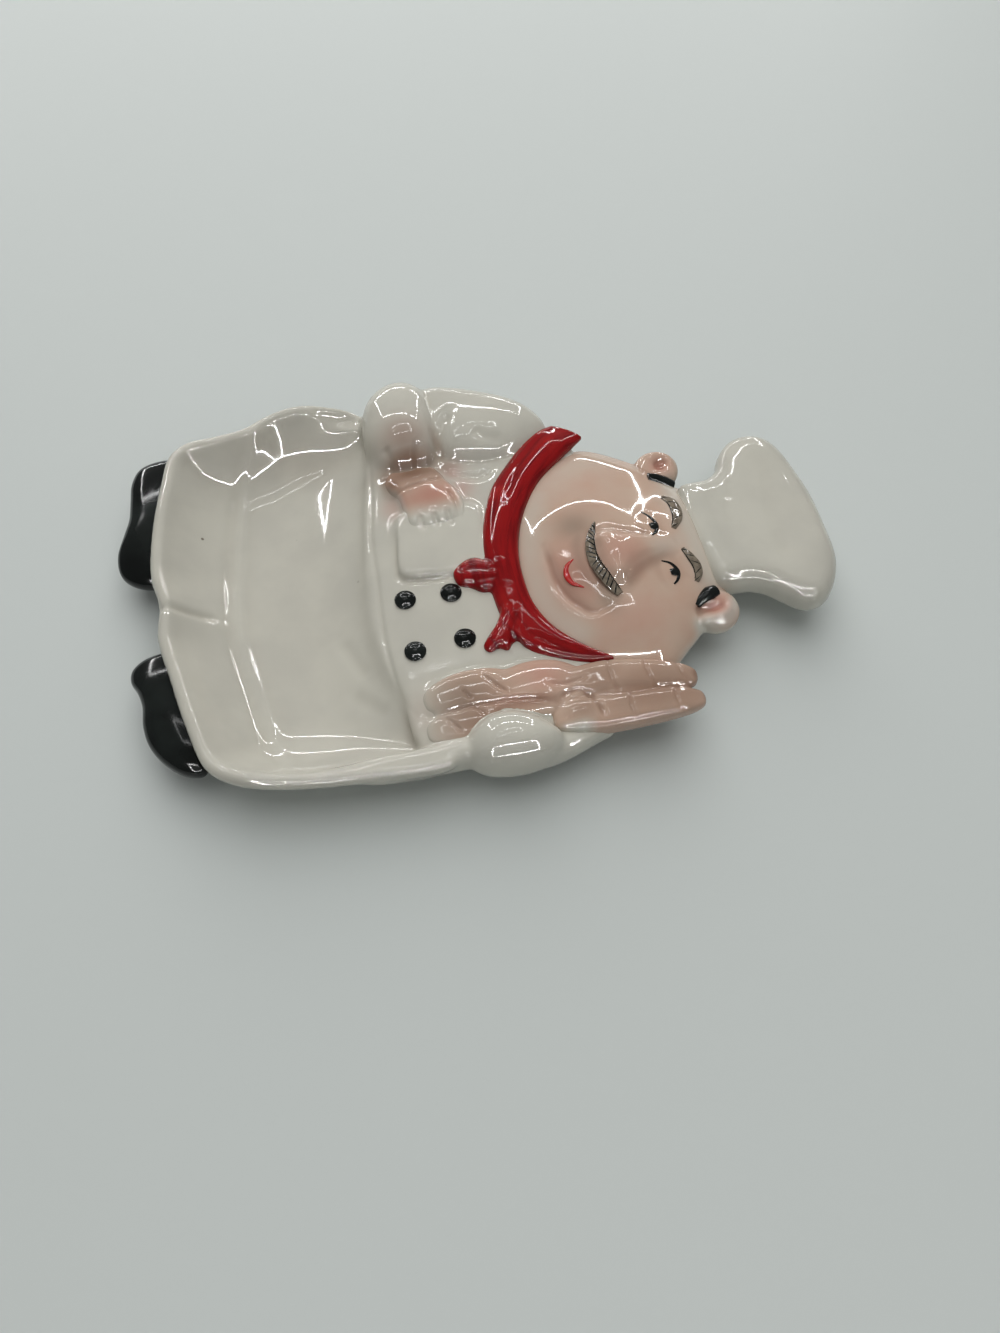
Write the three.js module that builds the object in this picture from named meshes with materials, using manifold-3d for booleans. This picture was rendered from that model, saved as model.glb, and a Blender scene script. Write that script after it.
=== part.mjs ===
// A ceramic spoon rest in the shape of a stout chef lying on their back. The belly is the bowl.
// Millimetres: X runs from the shoes to the hat, Y across towards the figure's right hand, Z up.

import * as THREE from "three";
import { mergeVertices } from "three/addons/utils/BufferGeometryUtils.js";
import Module from "manifold-3d";

const wasm = await Module();
wasm.setup();

// The casting
const CLEARANCE = 0.3; // gap between neighbouring forms
const WALL = 5; // thickness of the hollow-backed forms

// Bowl
const DISH_LENGTH = 76; // crotch to waist
const DISH_WIDTH = 149;
const DISH_Y = 5;
const RIM_HEIGHT = 22;
const RIM_ROLL = 2.6; // radius of the rolled rim
const FLOOR_HEIGHT = 6.5; // inside of the bowl
const FLOOR_WALL = 4.5; // thickness of the bowl's floor
const BOWL_SLOPE = 17; // how far the inside wall leans in at the sides
const TROUSER_SLOPE = 22; // and at the foot end
const WAIST_SLOPE = 10; // and at the chest
const WAIST_X = -27; // where the bowl ends and the chest begins

// Foot ring
const FOOT_LENGTH = 104;
const FOOT_WIDTH = 92;
const FOOT_X = -34;
const FOOT_THICKNESS = 5;

// Chest of the coat
const COAT_LENGTH = 35; // waist to collar
const COAT_WIDTH = 145;
const COAT_Y = 3.5;
const COAT_HEIGHT = 17.5;
const COAT_RISE = 1.5; // how much higher the collar is than the waist
const COAT_LAP = 30; // how far the chest is carried under its neighbours before it is cut
const COAT_LIP = 8; // height of its lower edge
const COAT_ROUND = 2; // radius of its upper edge

// Buttons
const BUTTON_DIAMETER = 6.8;
const BUTTON_HEIGHT = 2;
const BUTTON_PITCH_X = 15.4;
const BUTTON_PITCH_Y = 18.4;
const BUTTON_SINK = 1; // how far a button is set into the chest
const BUTTONS_FROM_WAIST = 8.4;
const BUTTONS_Y = -18.2;

// Shoes
const SHOE_HEIGHT = 18.5;
const SHOE_UNDERSIDE = 6;
const RIGHT_SHOE_LENGTH = 52.5;
const RIGHT_SHOE_DEPTH = 26;
const RIGHT_SHOE_Y = 45.2;
const LEFT_SHOE_LENGTH = 44;
const LEFT_SHOE_DEPTH = 22;
const LEFT_SHOE_Y = -30;
const SHOE_REACH = 1; // how far a shoe's middle lies inside the end of the bowl

// Right arm
const FORE_SLEEVE_LENGTH = 42;
const FORE_SLEEVE_DEPTH = 28;
const FORE_SLEEVE_HEIGHT = 27.5;
const FORE_SLEEVE_FROM_WAIST = 14;
const FORE_SLEEVE_Y = 62;
const UPPER_SLEEVE_LENGTH = 45;
const UPPER_SLEEVE_DEPTH = 40;
const UPPER_SLEEVE_HEIGHT = 26;
const UPPER_SLEEVE_LAP = 28; // from the middle of the fore sleeve to its own middle
const UPPER_SLEEVE_Y = 58;
const SLEEVE_EDGE = 16; // height of the widest line round a sleeve
const SLEEVE_UNDERSIDE = 8;
const FIST_WIDTH = 25;
const FIST_LENGTH = 29;
const FIST_HEIGHT = 24.5;
const FIST_EDGE = 2; // height of its widest line above the chest
const FIST_REACH = 11; // from the end of the sleeve to its middle
const FIST_SHIFT = 1; // from the middle of the sleeve towards the head
const NAPKIN_WIDTH = 24.5;
const NAPKIN_LENGTH = 23;
const NAPKIN_THICKNESS = 1.8;
const NAPKIN_TUCK = 5.5; // how far it runs up under the fist before it is cut
const NAPKIN_SHIFT = 2; // from the middle of the fist towards the head

// Left arm
const LEFT_SLEEVE_LENGTH = 40;
const LEFT_SLEEVE_WIDTH = 18.6;
const LEFT_SLEEVE_HEIGHT = 26;
const LEFT_SLEEVE_FROM_WAIST = 26;
const LEFT_SLEEVE_Y = -66;
const PALM_LENGTH = 30;
const PALM_WIDTH = 19;
const PALM_HEIGHT = 22.5;
const PALM_SHIFT = 7; // from the middle of the sleeve towards the head
const PALM_OFFSET = 6; // from the edge of the sleeve to its middle
const FINGER_WIDTH = 12.6;
const FINGER_DEPTH = 9;
const FINGER_REACH = 49; // from the middle of the palm to the finger tips
const LOBE_WIDTH = 13.5;
const LOBE_REACH = 32; // from the middle of the palm to the lobes over the bowl

// Head
const HEAD_LENGTH = 78;
const HEAD_WIDTH = 93.5;
const HEAD_Y = -7.25;
const HEAD_HEIGHT = 26.5;
const HEAD_EDGE = 14; // height of the widest line round the head
const HEAD_LIP = 9; // height of its lower edge
const FACE_Y = -13.5; // middle line of the face
const NOSE_Y = -15;
const NOSE_DROP = 4; // from the middle of the head towards the chin
const NOSE_SINK = 2; // how far its widest line lies inside the face
const NOSE_WIDTH = 14;
const NOSE_LENGTH = 19;
const NOSE_RISE = 5;
const MOUSTACHE_Y = -14.5;
const MOUSTACHE_CURL = 4.5; // how far its tips turn up towards the brows
const MOUSTACHE_WIDTH = 4.4;
const MOUSTACHE_SPAN = 29;
const MOUSTACHE_RISE = 1.4;
const BROW_FROM_HAT = 3.5;
const BROW_ARCH = 2;
const BROW_WIDTH = 3.4;
const BROW_LENGTH = 13;
const BROW_SPACING = 20.5;
const BROW_RISE = 0.8;
const SIDEBURN_FROM_HAT = 7;
const SIDEBURN_FROM_EAR = 4;
const SIDEBURN_WIDTH = 4;
const SIDEBURN_LENGTH = 11;
const SIDEBURN_RISE = 1;
const EAR_LENGTH = 15.5;
const EAR_WIDTH = 15;
const RIGHT_EAR_OUT = 2.3; // middle of the ear beyond the edge of the face
const LEFT_EAR_OUT = -0.8;
const EAR_HEIGHT = 20.5;
const EAR_UNDERSIDE = 10;

// Neckerchief
const KERCHIEF_WIDTH = 14.5;
const KERCHIEF_THICKNESS = 9;
const KERCHIEF_RISE = 2; // centre of the roll above the chest
const KERCHIEF_LAP = 1.1; // how far its middle line lies inside the head's edge
const KERCHIEF_START_ANGLE = 107; // degrees round the neck, at the right shoulder
const KERCHIEF_END_ANGLE = 236; // and at the left cheek
const KERCHIEF_FLARE = 6.6; // how far it opens out at the right shoulder
const KERCHIEF_SAG = 3.4; // and under the left cheek
const KERCHIEF_TUCK = 5; // how far its thin end turns in
const NECK_DEPTH = 9; // centre of its curve beyond the middle of the head
const NECK_Y = -10;
const KNOT_SHARE = 0.62; // of the way round
const KNOT_STANDOFF = 4.5; // middle of the knot before the roll's middle line
const KNOT_DROP = 1; // its widest line below that of the roll
const KNOT_LENGTH = 12;
const KNOT_WIDTH = 12;
const TAIL_LENGTH = 17;
const TAIL_WIDTH = 12;
const TAIL_RISE = 2.6;
const TAIL_TIP = 0.5; // middle of the tips above the chest

// Hat
const HAT_ON_HEAD = 17; // how far the hat comes down over the head
const HAT_BAND_LENGTH = 17; // the part that shows
const HAT_Y = -8.25;
const HAT_BAND_WIDTH = 43.5;
const HAT_BAND_HEIGHT = 22;
const HAT_CROWN_LENGTH = 29;
const HAT_CROWN_WIDTH = 71;
const HAT_CROWN_Y = -6.55;
const HAT_CROWN_HEIGHT = 23;
const HAT_EDGE = 15.5; // height of the widest line round the hat
const HAT_UNDERSIDE = 10;
const HAT_LAP = 11; // how far the band is carried under the crown before it is cut

// Plan outlines, in half lengths and half widths of their form, anticlockwise

const DISH_OUTLINE = [
  [1.14, -1], [0.98, -0.84], [0.82, -0.62], [0.71, -0.3], [0.75, -0.03], [0.87, 0.33],
  [1.02, 0.6], [1.14, 0.76], [1.14, 0.87], [1, 0.93], [0.76, 0.97], [0.45, 1],
  [0.18, 0.97], [-0.03, 0.92], [-0.32, 0.9], [-0.58, 0.89], [-0.74, 0.83], [-0.84, 0.67],
  [-0.95, 0.42], [-1, 0.16], [-0.955, 0.01], [-0.99, -0.16], [-0.93, -0.35], [-0.84, -0.6],
  [-0.72, -0.8], [-0.5, -0.89], [-0.13, -0.95], [0.39, -0.99],
];
const COAT_OUTLINE = [
  [-0.52, -0.92], [0.03, -0.93], [0.54, -0.9], [0.89, -0.77], [1.04, -0.45], [1.06, -0.03],
  [1.13, 0.46], [0.87, 0.71], [0.37, 0.88], [-0.09, 0.9], [-0.47, 0.78], [-0.77, 0.56],
  [-0.96, 0.1], [-0.94, -0.38], [-0.77, -0.79],
];
const HEAD_OUTLINE = [
  [1, 0], [0.9, 0.31], [0.67, 0.49], [0.5, 0.68], [0.33, 0.82], [-0.03, 1], [-0.28, 0.97],
  [-0.59, 0.81], [-0.85, 0.53], [-0.97, 0.18], [-1, -0.15], [-0.92, -0.48], [-0.72, -0.76],
  [-0.41, -0.93], [-0.13, -1], [0.05, -0.98], [0.23, -0.86], [0.54, -0.65], [0.72, -0.5],
  [0.9, -0.3],
];
const HAT_BAND_OUTLINE = [
  [1, 0], [0.86, 0.89], [0.09, 0.99], [-0.47, 1], [-0.78, 0.93], [-0.94, 0.56], [-1, 0],
  [-0.94, -0.54], [-0.78, -0.93], [-0.47, -1], [0.09, -1], [0.86, -0.88],
];
const HAT_CROWN_OUTLINE = [
  [1, -0.03], [0.97, 0.38], [0.79, 0.7], [0.48, 0.91], [0.07, 0.99], [-0.34, 0.95],
  [-0.62, 0.82], [-0.83, 0.61], [-0.97, 0.32], [-1, -0.03], [-0.97, -0.38], [-0.79, -0.67],
  [-0.55, -0.86], [-0.21, -0.99], [0.21, -0.98], [0.55, -0.86], [0.83, -0.64], [0.97, -0.32],
];
const FORE_SLEEVE_OUTLINE = [
  [0.96, 0.1], [0.86, 0.62], [0.5, 0.93], [0.07, 1], [-0.43, 0.86], [-0.82, 0.52], [-1, 0],
  [-0.93, -0.52], [-0.57, -0.88], [0.07, -1], [0.64, -0.86], [0.89, -0.43],
];
const UPPER_SLEEVE_OUTLINE = [
  [0.98, -0.4], [0.87, 0], [0.58, 0.35], [0.13, 0.65], [-0.4, 0.92], [-0.8, 1], [-1.02, 0.6],
  [-1.02, -0.15], [-0.8, -0.65], [-0.4, -0.88], [0.09, -0.95], [0.53, -0.85], [0.84, -0.68],
];
const LEFT_SLEEVE_OUTLINE = [
  [1, -0.32], [0.72, 0.11], [0.45, 0.48], [0.15, 0.86], [-0.18, 1.02], [-0.5, 0.91],
  [-0.8, 0.54], [-0.98, 0], [-0.95, -0.48], [-0.73, -0.75], [-0.4, -0.94], [0, -0.99],
  [0.4, -0.86], [0.75, -0.65],
];
const RIGHT_SHOE_OUTLINE = [
  [0.38, -1.02], [0.69, -0.36], [0.92, 0.24], [1.08, 0.72], [0.77, 0.96], [0.31, 1],
  [-0.19, 0.92], [-0.46, 0.68], [-0.54, 0.36], [-0.62, 0.04], [-0.81, -0.24], [-0.98, -0.52],
  [-0.92, -0.78], [-0.62, -0.94], [-0.15, -1.03],
];
const LEFT_SHOE_OUTLINE = [
  [0.68, -1], [0.95, -0.68], [0.77, -0.09], [0.5, 0.55], [0.27, 0.98], [-0.18, 1],
  [-0.64, 0.94], [-0.95, 0.8], [-1, 0.61], [-0.85, 0.43], [-0.75, 0.2], [-0.77, -0.14],
  [-0.64, -0.45], [-0.27, -0.75], [0.23, -0.96],
];
const FIST_OUTLINE = [
  [1.04, 0], [1, 0.54], [0.72, 0.95], [0, 1.02], [-0.72, 0.95], [-1, 0.41], [-0.84, -0.2],
  [-0.72, -0.68], [-0.36, -0.95], [0.08, -1], [0.52, -0.97], [0.84, -0.78],
];
const NAPKIN_OUTLINE = [
  [1, -0.55], [1, 0.6], [0.8, 1], [-0.8, 1], [-1, 0.6], [-1, -0.75], [-0.85, -1], [0.5, -0.93],
];

// Routes of the fingers and lobes from the middle of the palm, in their reach and their width
const FINGER_ROUTES = [
  [[0.08, -0.16], [0.45, -0.12], [0.8, -0.4], [1, -0.63]],
  [[0.04, -0.87], [0.4, -1.03], [0.75, -1.11], [1, -1.19]],
];
const LOBE_ROUTES = [
  [[-0.06, 0.15], [-0.55, 0.33], [-1, 0.22]],
  [[-0.31, -0.48], [-0.75, -0.48], [-1.06, -0.48]],
];
const OVAL = Array.from({ length: 8 }, (_, i) => [
  Math.cos((i * Math.PI) / 4),
  Math.sin((i * Math.PI) / 4),
]);

// Shaping

const lerp = THREE.MathUtils.lerp;
const smooth = THREE.MathUtils.smoothstep;

const MITRE_RATIO = 2; // most that a sharp corner moves, in clearances

// Height of a rounded edge at a share of the way in from the outline; a larger power is flatter.
function bulge(share, power) {
  return (1 - (1 - share) ** power) ** (1 / power);
}

// Points of a plan outline placed at its middle with its full length and width.
function planOutline(shape, middle, length, width, count) {
  const corners = shape.map(
    ([u, v]) => new THREE.Vector3(middle[0] + (u * length) / 2, middle[1] + (v * width) / 2, 0),
  );
  const curve = new THREE.CatmullRomCurve3(corners, true, "centripetal");
  return curve.getSpacedPoints(count).slice(0, count);
}

// Triangles that close a ring in plan.
function cap(ring) {
  const corners = ring.map((point) => new THREE.Vector2(point.x, point.y));
  return THREE.ShapeUtils.triangulateShape(corners, []).flatMap(([i, j, k]) => {
    const side = corners[j].clone().sub(corners[i]).cross(corners[k].clone().sub(corners[i]));
    return side > 0 ? [i, j, k] : [i, k, j];
  });
}

// Closed skin over rings of equal length, with a point or a flat cap at either end.
function skin(start, rings, end) {
  const count = rings[0].length;
  const ends = [start, end].filter((point) => point);
  const points = [...rings.flat(), ...ends];
  const startAt = rings.length * count;
  const endAt = points.length - 1;
  const lastRing = rings.length - 1;
  const faces = [];
  const at = (ring, i) => ring * count + (i % count);
  for (let i = 0; i < count; i++) {
    if (start) faces.push(startAt, at(0, i + 1), at(0, i));
    for (let ring = 0; ring < lastRing; ring++) {
      faces.push(at(ring, i), at(ring, i + 1), at(ring + 1, i + 1));
      faces.push(at(ring, i), at(ring + 1, i + 1), at(ring + 1, i));
    }
    if (end) faces.push(at(lastRing, i), at(lastRing, i + 1), endAt);
  }
  if (!start) faces.push(...cap(rings[0]).reverse());
  if (!end) faces.push(...cap(rings[lastRing]).map((i) => at(lastRing, i)));
  const geometry = new THREE.BufferGeometry().setFromPoints(points);
  geometry.setIndex(faces);
  return geometry;
}

// One level of a loft: the outline drawn in towards a spine that runs across the figure through the
// middle, by millimetres and then by a share of what is left.
function level(outline, middle, spine, inset, share, height) {
  return outline.map((point) => {
    const across = THREE.MathUtils.clamp(point.y - middle[1], -spine, spine);
    const centre = new THREE.Vector3(middle[0], middle[1] + across, 0);
    const radius = point.distanceTo(centre);
    const way = (inset + share * (radius - inset)) / radius;
    const spot = point.clone().lerp(centre, way);
    return spot.setZ(height(spot.x, spot.y));
  });
}

// A form lofted from the middle of its underside, out to its edge and over to the middle of its top.
function loft(outline, middle, under, levels, over, spine = 0) {
  const rings = levels.map(([inset, share, height]) =>
    level(outline, middle, spine, inset, share, height),
  );
  if (spine) return skin(null, rings, null);
  const start = new THREE.Vector3(...middle, under);
  const end = new THREE.Vector3(...middle, over);
  return skin(start, rings, end);
}

// A cushion with a rounded edge: top, widest line and underside.
function cushion(outline, middle, top, edge, underside, power, steps) {
  const levels = [];
  for (let i = steps - 1; i > 0; i--) {
    const share = 1 - Math.cos((i / steps) * (Math.PI / 2));
    levels.push([0, share, () => edge - (edge - underside) * bulge(share, power)]);
  }
  levels.push([0, 0, () => edge]);
  for (let i = 1; i < steps; i++) {
    const share = 1 - Math.cos((i / steps) * (Math.PI / 2));
    levels.push([0, share, () => edge + (top - edge) * bulge(share, power)]);
  }
  return loft(outline, middle, underside, levels, top);
}

// A roll along a plan curve; half width, half depth and middle height run with the share along it.
function roll(curve, steps, sides, halfWidth, halfDepth, height) {
  const rings = [];
  for (let k = 0; k <= steps; k++) {
    const share = 0.5 - 0.5 * Math.cos((Math.PI * (k + 0.35)) / (steps + 0.7));
    const spot = curve.getPointAt(share);
    const along = curve.getTangentAt(share);
    const ring = [];
    for (let i = 0; i < sides; i++) {
      const turn = (i * 2 * Math.PI) / sides;
      const out = Math.cos(turn) * halfWidth(share);
      const up = Math.sin(turn) * halfDepth(share);
      ring.push(
        new THREE.Vector3(spot.x - along.y * out, spot.y + along.x * out, height(share) + up),
      );
    }
    rings.push(ring);
  }
  const start = curve.getPointAt(0);
  const end = curve.getPointAt(1);
  return skin(start.setZ(height(0)), rings, end.setZ(height(1)));
}

// Fullness of a roll with round ends.
function roundEnds(share, power) {
  return (1 - Math.abs(2 * share - 1) ** power) ** (1 / power);
}

// Closed mesh to solid and back.
function toSolid(geometry) {
  const bare = geometry.clone();
  bare.deleteAttribute("normal");
  bare.deleteAttribute("uv");
  const merged = mergeVertices(bare, 1e-4);
  const vertProperties = new Float32Array(merged.getAttribute("position").array);
  const triVerts = new Uint32Array(merged.index.array);
  return new wasm.Manifold(new wasm.Mesh({ numProp: 3, vertProperties, triVerts }));
}

function toGeometry(solid) {
  const mesh = solid.getMesh();
  const geometry = new THREE.BufferGeometry();
  geometry.setAttribute("position", new THREE.BufferAttribute(mesh.vertProperties, 3));
  geometry.setIndex(new THREE.BufferAttribute(mesh.triVerts, 1));
  return geometry;
}

// The same form with the clearance added all over: each corner moves so that all its faces do.
function swollen(geometry) {
  const grown = geometry.clone();
  grown.computeVertexNormals();
  const points = grown.getAttribute("position");
  const normals = grown.getAttribute("normal");
  const corners = Array.from({ length: points.count }, (_, i) =>
    new THREE.Vector3().fromBufferAttribute(points, i),
  );
  const ways = corners.map((_, i) => new THREE.Vector3().fromBufferAttribute(normals, i));
  const least = corners.map(() => 1);
  const face = new THREE.Triangle();
  const square = new THREE.Vector3();
  for (let i = 0; i < grown.index.count; i += 3) {
    const around = [0, 1, 2].map((k) => grown.index.getX(i + k));
    face.set(...around.map((k) => corners[k])).getNormal(square);
    around.forEach((k) => {
      least[k] = Math.min(least[k], ways[k].dot(square));
    });
  }
  corners.forEach((corner, i) => {
    corner.addScaledVector(ways[i], CLEARANCE / Math.max(1 / MITRE_RATIO, least[i]));
    points.setXYZ(i, ...corner);
  });
  return toSolid(grown);
}

// An upright block over the whole plan of a form, with the clearance added.
function planBlock(outline) {
  const count = outline.length;
  const corners = outline.map((point, i) => {
    const along = outline[(i + 1) % count].clone().sub(outline[(i + count - 1) % count]);
    along.normalize();
    return new THREE.Vector2(point.x + along.y * CLEARANCE, point.y - along.x * CLEARANCE);
  });
  const tall = 4 * HEAD_HEIGHT;
  const block = new THREE.ExtrudeGeometry(new THREE.Shape(corners), {
    depth: tall,
    bevelEnabled: false,
  });
  block.translate(0, 0, -tall / 2);
  return toSolid(block);
}

function cut(geometry, ...tools) {
  const solid = tools.reduce((left, tool) => left.subtract(tool), toSolid(geometry));
  return toGeometry(solid);
}

// Height of a form's upper face above a place in plan.
function topOf(geometry, x, y) {
  const mesh = new THREE.Mesh(geometry, new THREE.MeshStandardMaterial());
  const ray = new THREE.Raycaster(
    new THREE.Vector3(x, y, 4 * HEAD_HEIGHT),
    new THREE.Vector3(0, 0, -1),
  );
  return ray.intersectObject(mesh)[0].point.z;
}

function planCurve(points) {
  return new THREE.CatmullRomCurve3(points.map(([x, y]) => new THREE.Vector3(x, y, 0)));
}

// Middles of the main forms

const dishMiddle = [WAIST_X - DISH_LENGTH / 2, DISH_Y];
const coatMiddle = [WAIST_X + COAT_LENGTH / 2, COAT_Y];
const headMiddle = [WAIST_X + COAT_LENGTH + HEAD_LENGTH / 2, HEAD_Y];
const hatX = headMiddle[0] + HEAD_LENGTH / 2 - HAT_ON_HEAD;
const bandLength = HAT_BAND_LENGTH + HAT_LAP;
const bandMiddle = [hatX + bandLength / 2, HAT_Y];
const crownMiddle = [hatX + HAT_BAND_LENGTH + HAT_CROWN_LENGTH / 2, HAT_CROWN_Y];
const foreMiddle = [WAIST_X + FORE_SLEEVE_FROM_WAIST, FORE_SLEEVE_Y];
const upperMiddle = [foreMiddle[0] + UPPER_SLEEVE_LAP, UPPER_SLEEVE_Y];
const leftSleeveMiddle = [WAIST_X + LEFT_SLEEVE_FROM_WAIST, LEFT_SLEEVE_Y];
const shoeX = WAIST_X - DISH_LENGTH + SHOE_REACH;

const dishOutline = planOutline(DISH_OUTLINE, dishMiddle, DISH_LENGTH, DISH_WIDTH, 64);
const coatOutline = planOutline(
  COAT_OUTLINE, coatMiddle, COAT_LENGTH + 2 * COAT_LAP, COAT_WIDTH, 36,
);
const headOutline = planOutline(HEAD_OUTLINE, headMiddle, HEAD_LENGTH, HEAD_WIDTH, 44);
const bandOutline = planOutline(HAT_BAND_OUTLINE, bandMiddle, bandLength, HAT_BAND_WIDTH, 28);
const crownOutline = planOutline(
  HAT_CROWN_OUTLINE, crownMiddle, HAT_CROWN_LENGTH, HAT_CROWN_WIDTH, 36,
);
const foreOutline = planOutline(
  FORE_SLEEVE_OUTLINE, foreMiddle, FORE_SLEEVE_DEPTH, FORE_SLEEVE_LENGTH, 24,
);
const upperOutline = planOutline(
  UPPER_SLEEVE_OUTLINE, upperMiddle, UPPER_SLEEVE_LENGTH, UPPER_SLEEVE_DEPTH, 26,
);
const leftSleeveOutline = planOutline(
  LEFT_SLEEVE_OUTLINE, leftSleeveMiddle, LEFT_SLEEVE_LENGTH, LEFT_SLEEVE_WIDTH, 24,
);

// Bowl: outer wall, rolled rim and inner wall; the rim drops to the chest's height at the waist

function rimAt(x, y) {
  const across = Math.abs(y - DISH_Y) / (DISH_WIDTH / 2);
  const waist = smooth(x, dishMiddle[0] + DISH_LENGTH * 0.2, dishMiddle[0] + DISH_LENGTH * 0.36);
  return lerp(RIM_HEIGHT, COAT_HEIGHT, waist * (1 - smooth(across, 0.55, 0.85)));
}

// Distance in plan to a run of points.
function distanceTo(run, x, y) {
  const spot = new THREE.Vector3(x, y, 0);
  const near = new THREE.Vector3();
  let least = Infinity;
  for (let i = 0; i < run.length - 1; i++) {
    new THREE.Line3(run[i], run[i + 1]).closestPointToPoint(spot, true, near);
    least = Math.min(least, near.distanceTo(spot));
  }
  return least;
}

// The bowl's inside falls from the rim by a slope that is longer at the foot end, and from the chest.
const atWaist = (point) =>
  point.x > dishMiddle[0] + DISH_LENGTH * 0.34 && Math.abs(point.y - DISH_Y) < DISH_WIDTH * 0.47;
const firstRim = dishOutline.findIndex(
  (point, i) => !atWaist(point) && atWaist(dishOutline.at(i - 1)),
);
const turned = [...dishOutline.slice(firstRim), ...dishOutline.slice(0, firstRim)];
const rimRun = turned.filter((point) => !atWaist(point));
const waistRun = [rimRun.at(-1), ...turned.filter(atWaist), rimRun[0]];

function bowlAt(x, y) {
  const foot = smooth(dishMiddle[0] - x, DISH_LENGTH * 0.1, DISH_LENGTH * 0.34);
  const run = lerp(BOWL_SLOPE, TROUSER_SLOPE, foot);
  const shoulder = RIM_HEIGHT - 0.35 * RIM_ROLL - FLOOR_HEIGHT;
  const side = Math.max(0, 1 - Math.max(0, distanceTo(rimRun, x, y) - RIM_ROLL * 1.7) / run);
  const waist = Math.max(0, 1 - distanceTo(waistRun, x, y) / WAIST_SLOPE);
  const chest = COAT_HEIGHT - FLOOR_HEIGHT;
  const rise = (shoulder * side ** 1.7) ** 4 + (chest * waist ** 1.6) ** 4;
  return FLOOR_HEIGHT + rise ** 0.25;
}

const dishUnder = FLOOR_HEIGHT - FLOOR_WALL;

// Underside of the bowl's wall, a number of floor thicknesses below its inside.
function underBowl(x, y, thick) {
  return Math.max(dishUnder, bowlAt(x, y) - thick * FLOOR_WALL);
}

const dishOutside = [
  [0, 0.52, (x, y) => underBowl(x, y, 1)],
  [0, 0.34, (x, y) => underBowl(x, y, 1.2)],
  [0, 0.17, (x, y) => underBowl(x, y, 1.4)],
  [RIM_ROLL * 0.8, 0, (x, y) => underBowl(x, y, 1.5)],
  [0, 0, (x, y) => rimAt(x, y) - 1.5 * RIM_ROLL],
  [RIM_ROLL * 0.3, 0, (x, y) => rimAt(x, y) - 0.5 * RIM_ROLL],
  [RIM_ROLL, 0, rimAt],
];
const dishInside = [
  [RIM_ROLL * 1.7, 0, (x, y) => Math.min(bowlAt(x, y), rimAt(x, y))],
  ...[0.05, 0.11, 0.18, 0.26, 0.36, 0.5, 0.68].map((share) => [RIM_ROLL * 1.7, share, bowlAt]),
];
const dishSpine = DISH_WIDTH / 2 - 2.2 * BOWL_SLOPE;
const dish = loft(
  dishOutline, dishMiddle, dishUnder, [...dishOutside, ...dishInside], FLOOR_HEIGHT, dishSpine,
);
const dishFilled = loft(
  dishOutline, dishMiddle, dishUnder, dishOutside, RIM_HEIGHT, dishSpine,
);

// Chest: a hollow-backed shell that rises towards the collar

function coatTop(x) {
  const collar = WAIST_X + COAT_LENGTH;
  return COAT_HEIGHT + COAT_RISE * smooth(x, WAIST_X - COAT_LAP / 3, collar);
}

const coatHollow = [
  [WALL * 2.4, 0.5, (x) => coatTop(x) - WALL],
  [WALL * 2.2, 0, (x) => coatTop(x) - WALL * 1.2],
  [WALL * 1.5, 0, () => COAT_LIP],
];
const coatOutside = [
  [WALL * 0.7, 0, () => COAT_LIP],
  [0, 0, () => COAT_LIP + WALL * 0.8],
  [COAT_ROUND * 0.2, 0, (x) => coatTop(x) - COAT_ROUND * 0.9],
  [COAT_ROUND, 0, (x) => coatTop(x) - COAT_ROUND * 0.2],
  [WALL * 2, 0, coatTop],
  [WALL * 2, 0.5, coatTop],
];
const coatPeak = coatTop(coatMiddle[0]);
const coatForm = loft(
  coatOutline, coatMiddle, coatPeak - WALL, [...coatHollow, ...coatOutside], coatPeak,
);
const coatFilled = loft(coatOutline, coatMiddle, COAT_LIP, coatOutside, coatPeak);

// Head: a hollow-backed dome; its far end is carried under the hat before it is cut

function faceLevel(share, drop) {
  const rise = bulge(share, 1.9) * (HEAD_HEIGHT - HEAD_EDGE);
  return [0, share, () => HEAD_EDGE + rise - drop];
}

const headHollow = [
  faceLevel(0.75, WALL),
  faceLevel(0.5, WALL),
  faceLevel(0.26, WALL * 1.1),
  [WALL * 1.15, 0, () => HEAD_LIP],
];
const headOutside = [
  [WALL * 0.5, 0, () => HEAD_LIP],
  [0, 0, () => HEAD_EDGE],
  faceLevel(0.03, 0),
  faceLevel(0.1, 0),
  faceLevel(0.22, 0),
  faceLevel(0.38, 0),
  faceLevel(0.58, 0),
  faceLevel(0.8, 0),
];
const headForm = loft(
  headOutline, headMiddle, HEAD_HEIGHT - WALL, [...headHollow, ...headOutside], HEAD_HEIGHT,
);
const headFilled = loft(headOutline, headMiddle, HEAD_LIP, headOutside, HEAD_HEIGHT);

// Hat

const bandForm = cushion(
  bandOutline, bandMiddle, HAT_BAND_HEIGHT, HAT_EDGE, HAT_UNDERSIDE, 3.4, 4,
);
const crown = cushion(
  crownOutline, crownMiddle, HAT_CROWN_HEIGHT, HAT_EDGE, HAT_UNDERSIDE, 3.2, 5,
);

// Sleeves

const foreSleeve = cushion(
  foreOutline, foreMiddle, FORE_SLEEVE_HEIGHT, SLEEVE_EDGE, SLEEVE_UNDERSIDE, 2.3, 4,
);
const upperForm = cushion(
  upperOutline, upperMiddle, UPPER_SLEEVE_HEIGHT, SLEEVE_EDGE, SLEEVE_UNDERSIDE, 2.3, 4,
);
const leftSleeve = cushion(
  leftSleeveOutline, leftSleeveMiddle, LEFT_SLEEVE_HEIGHT, SLEEVE_EDGE, SLEEVE_UNDERSIDE, 2.3, 4,
);

// The main forms meet edge to edge in plan

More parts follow.
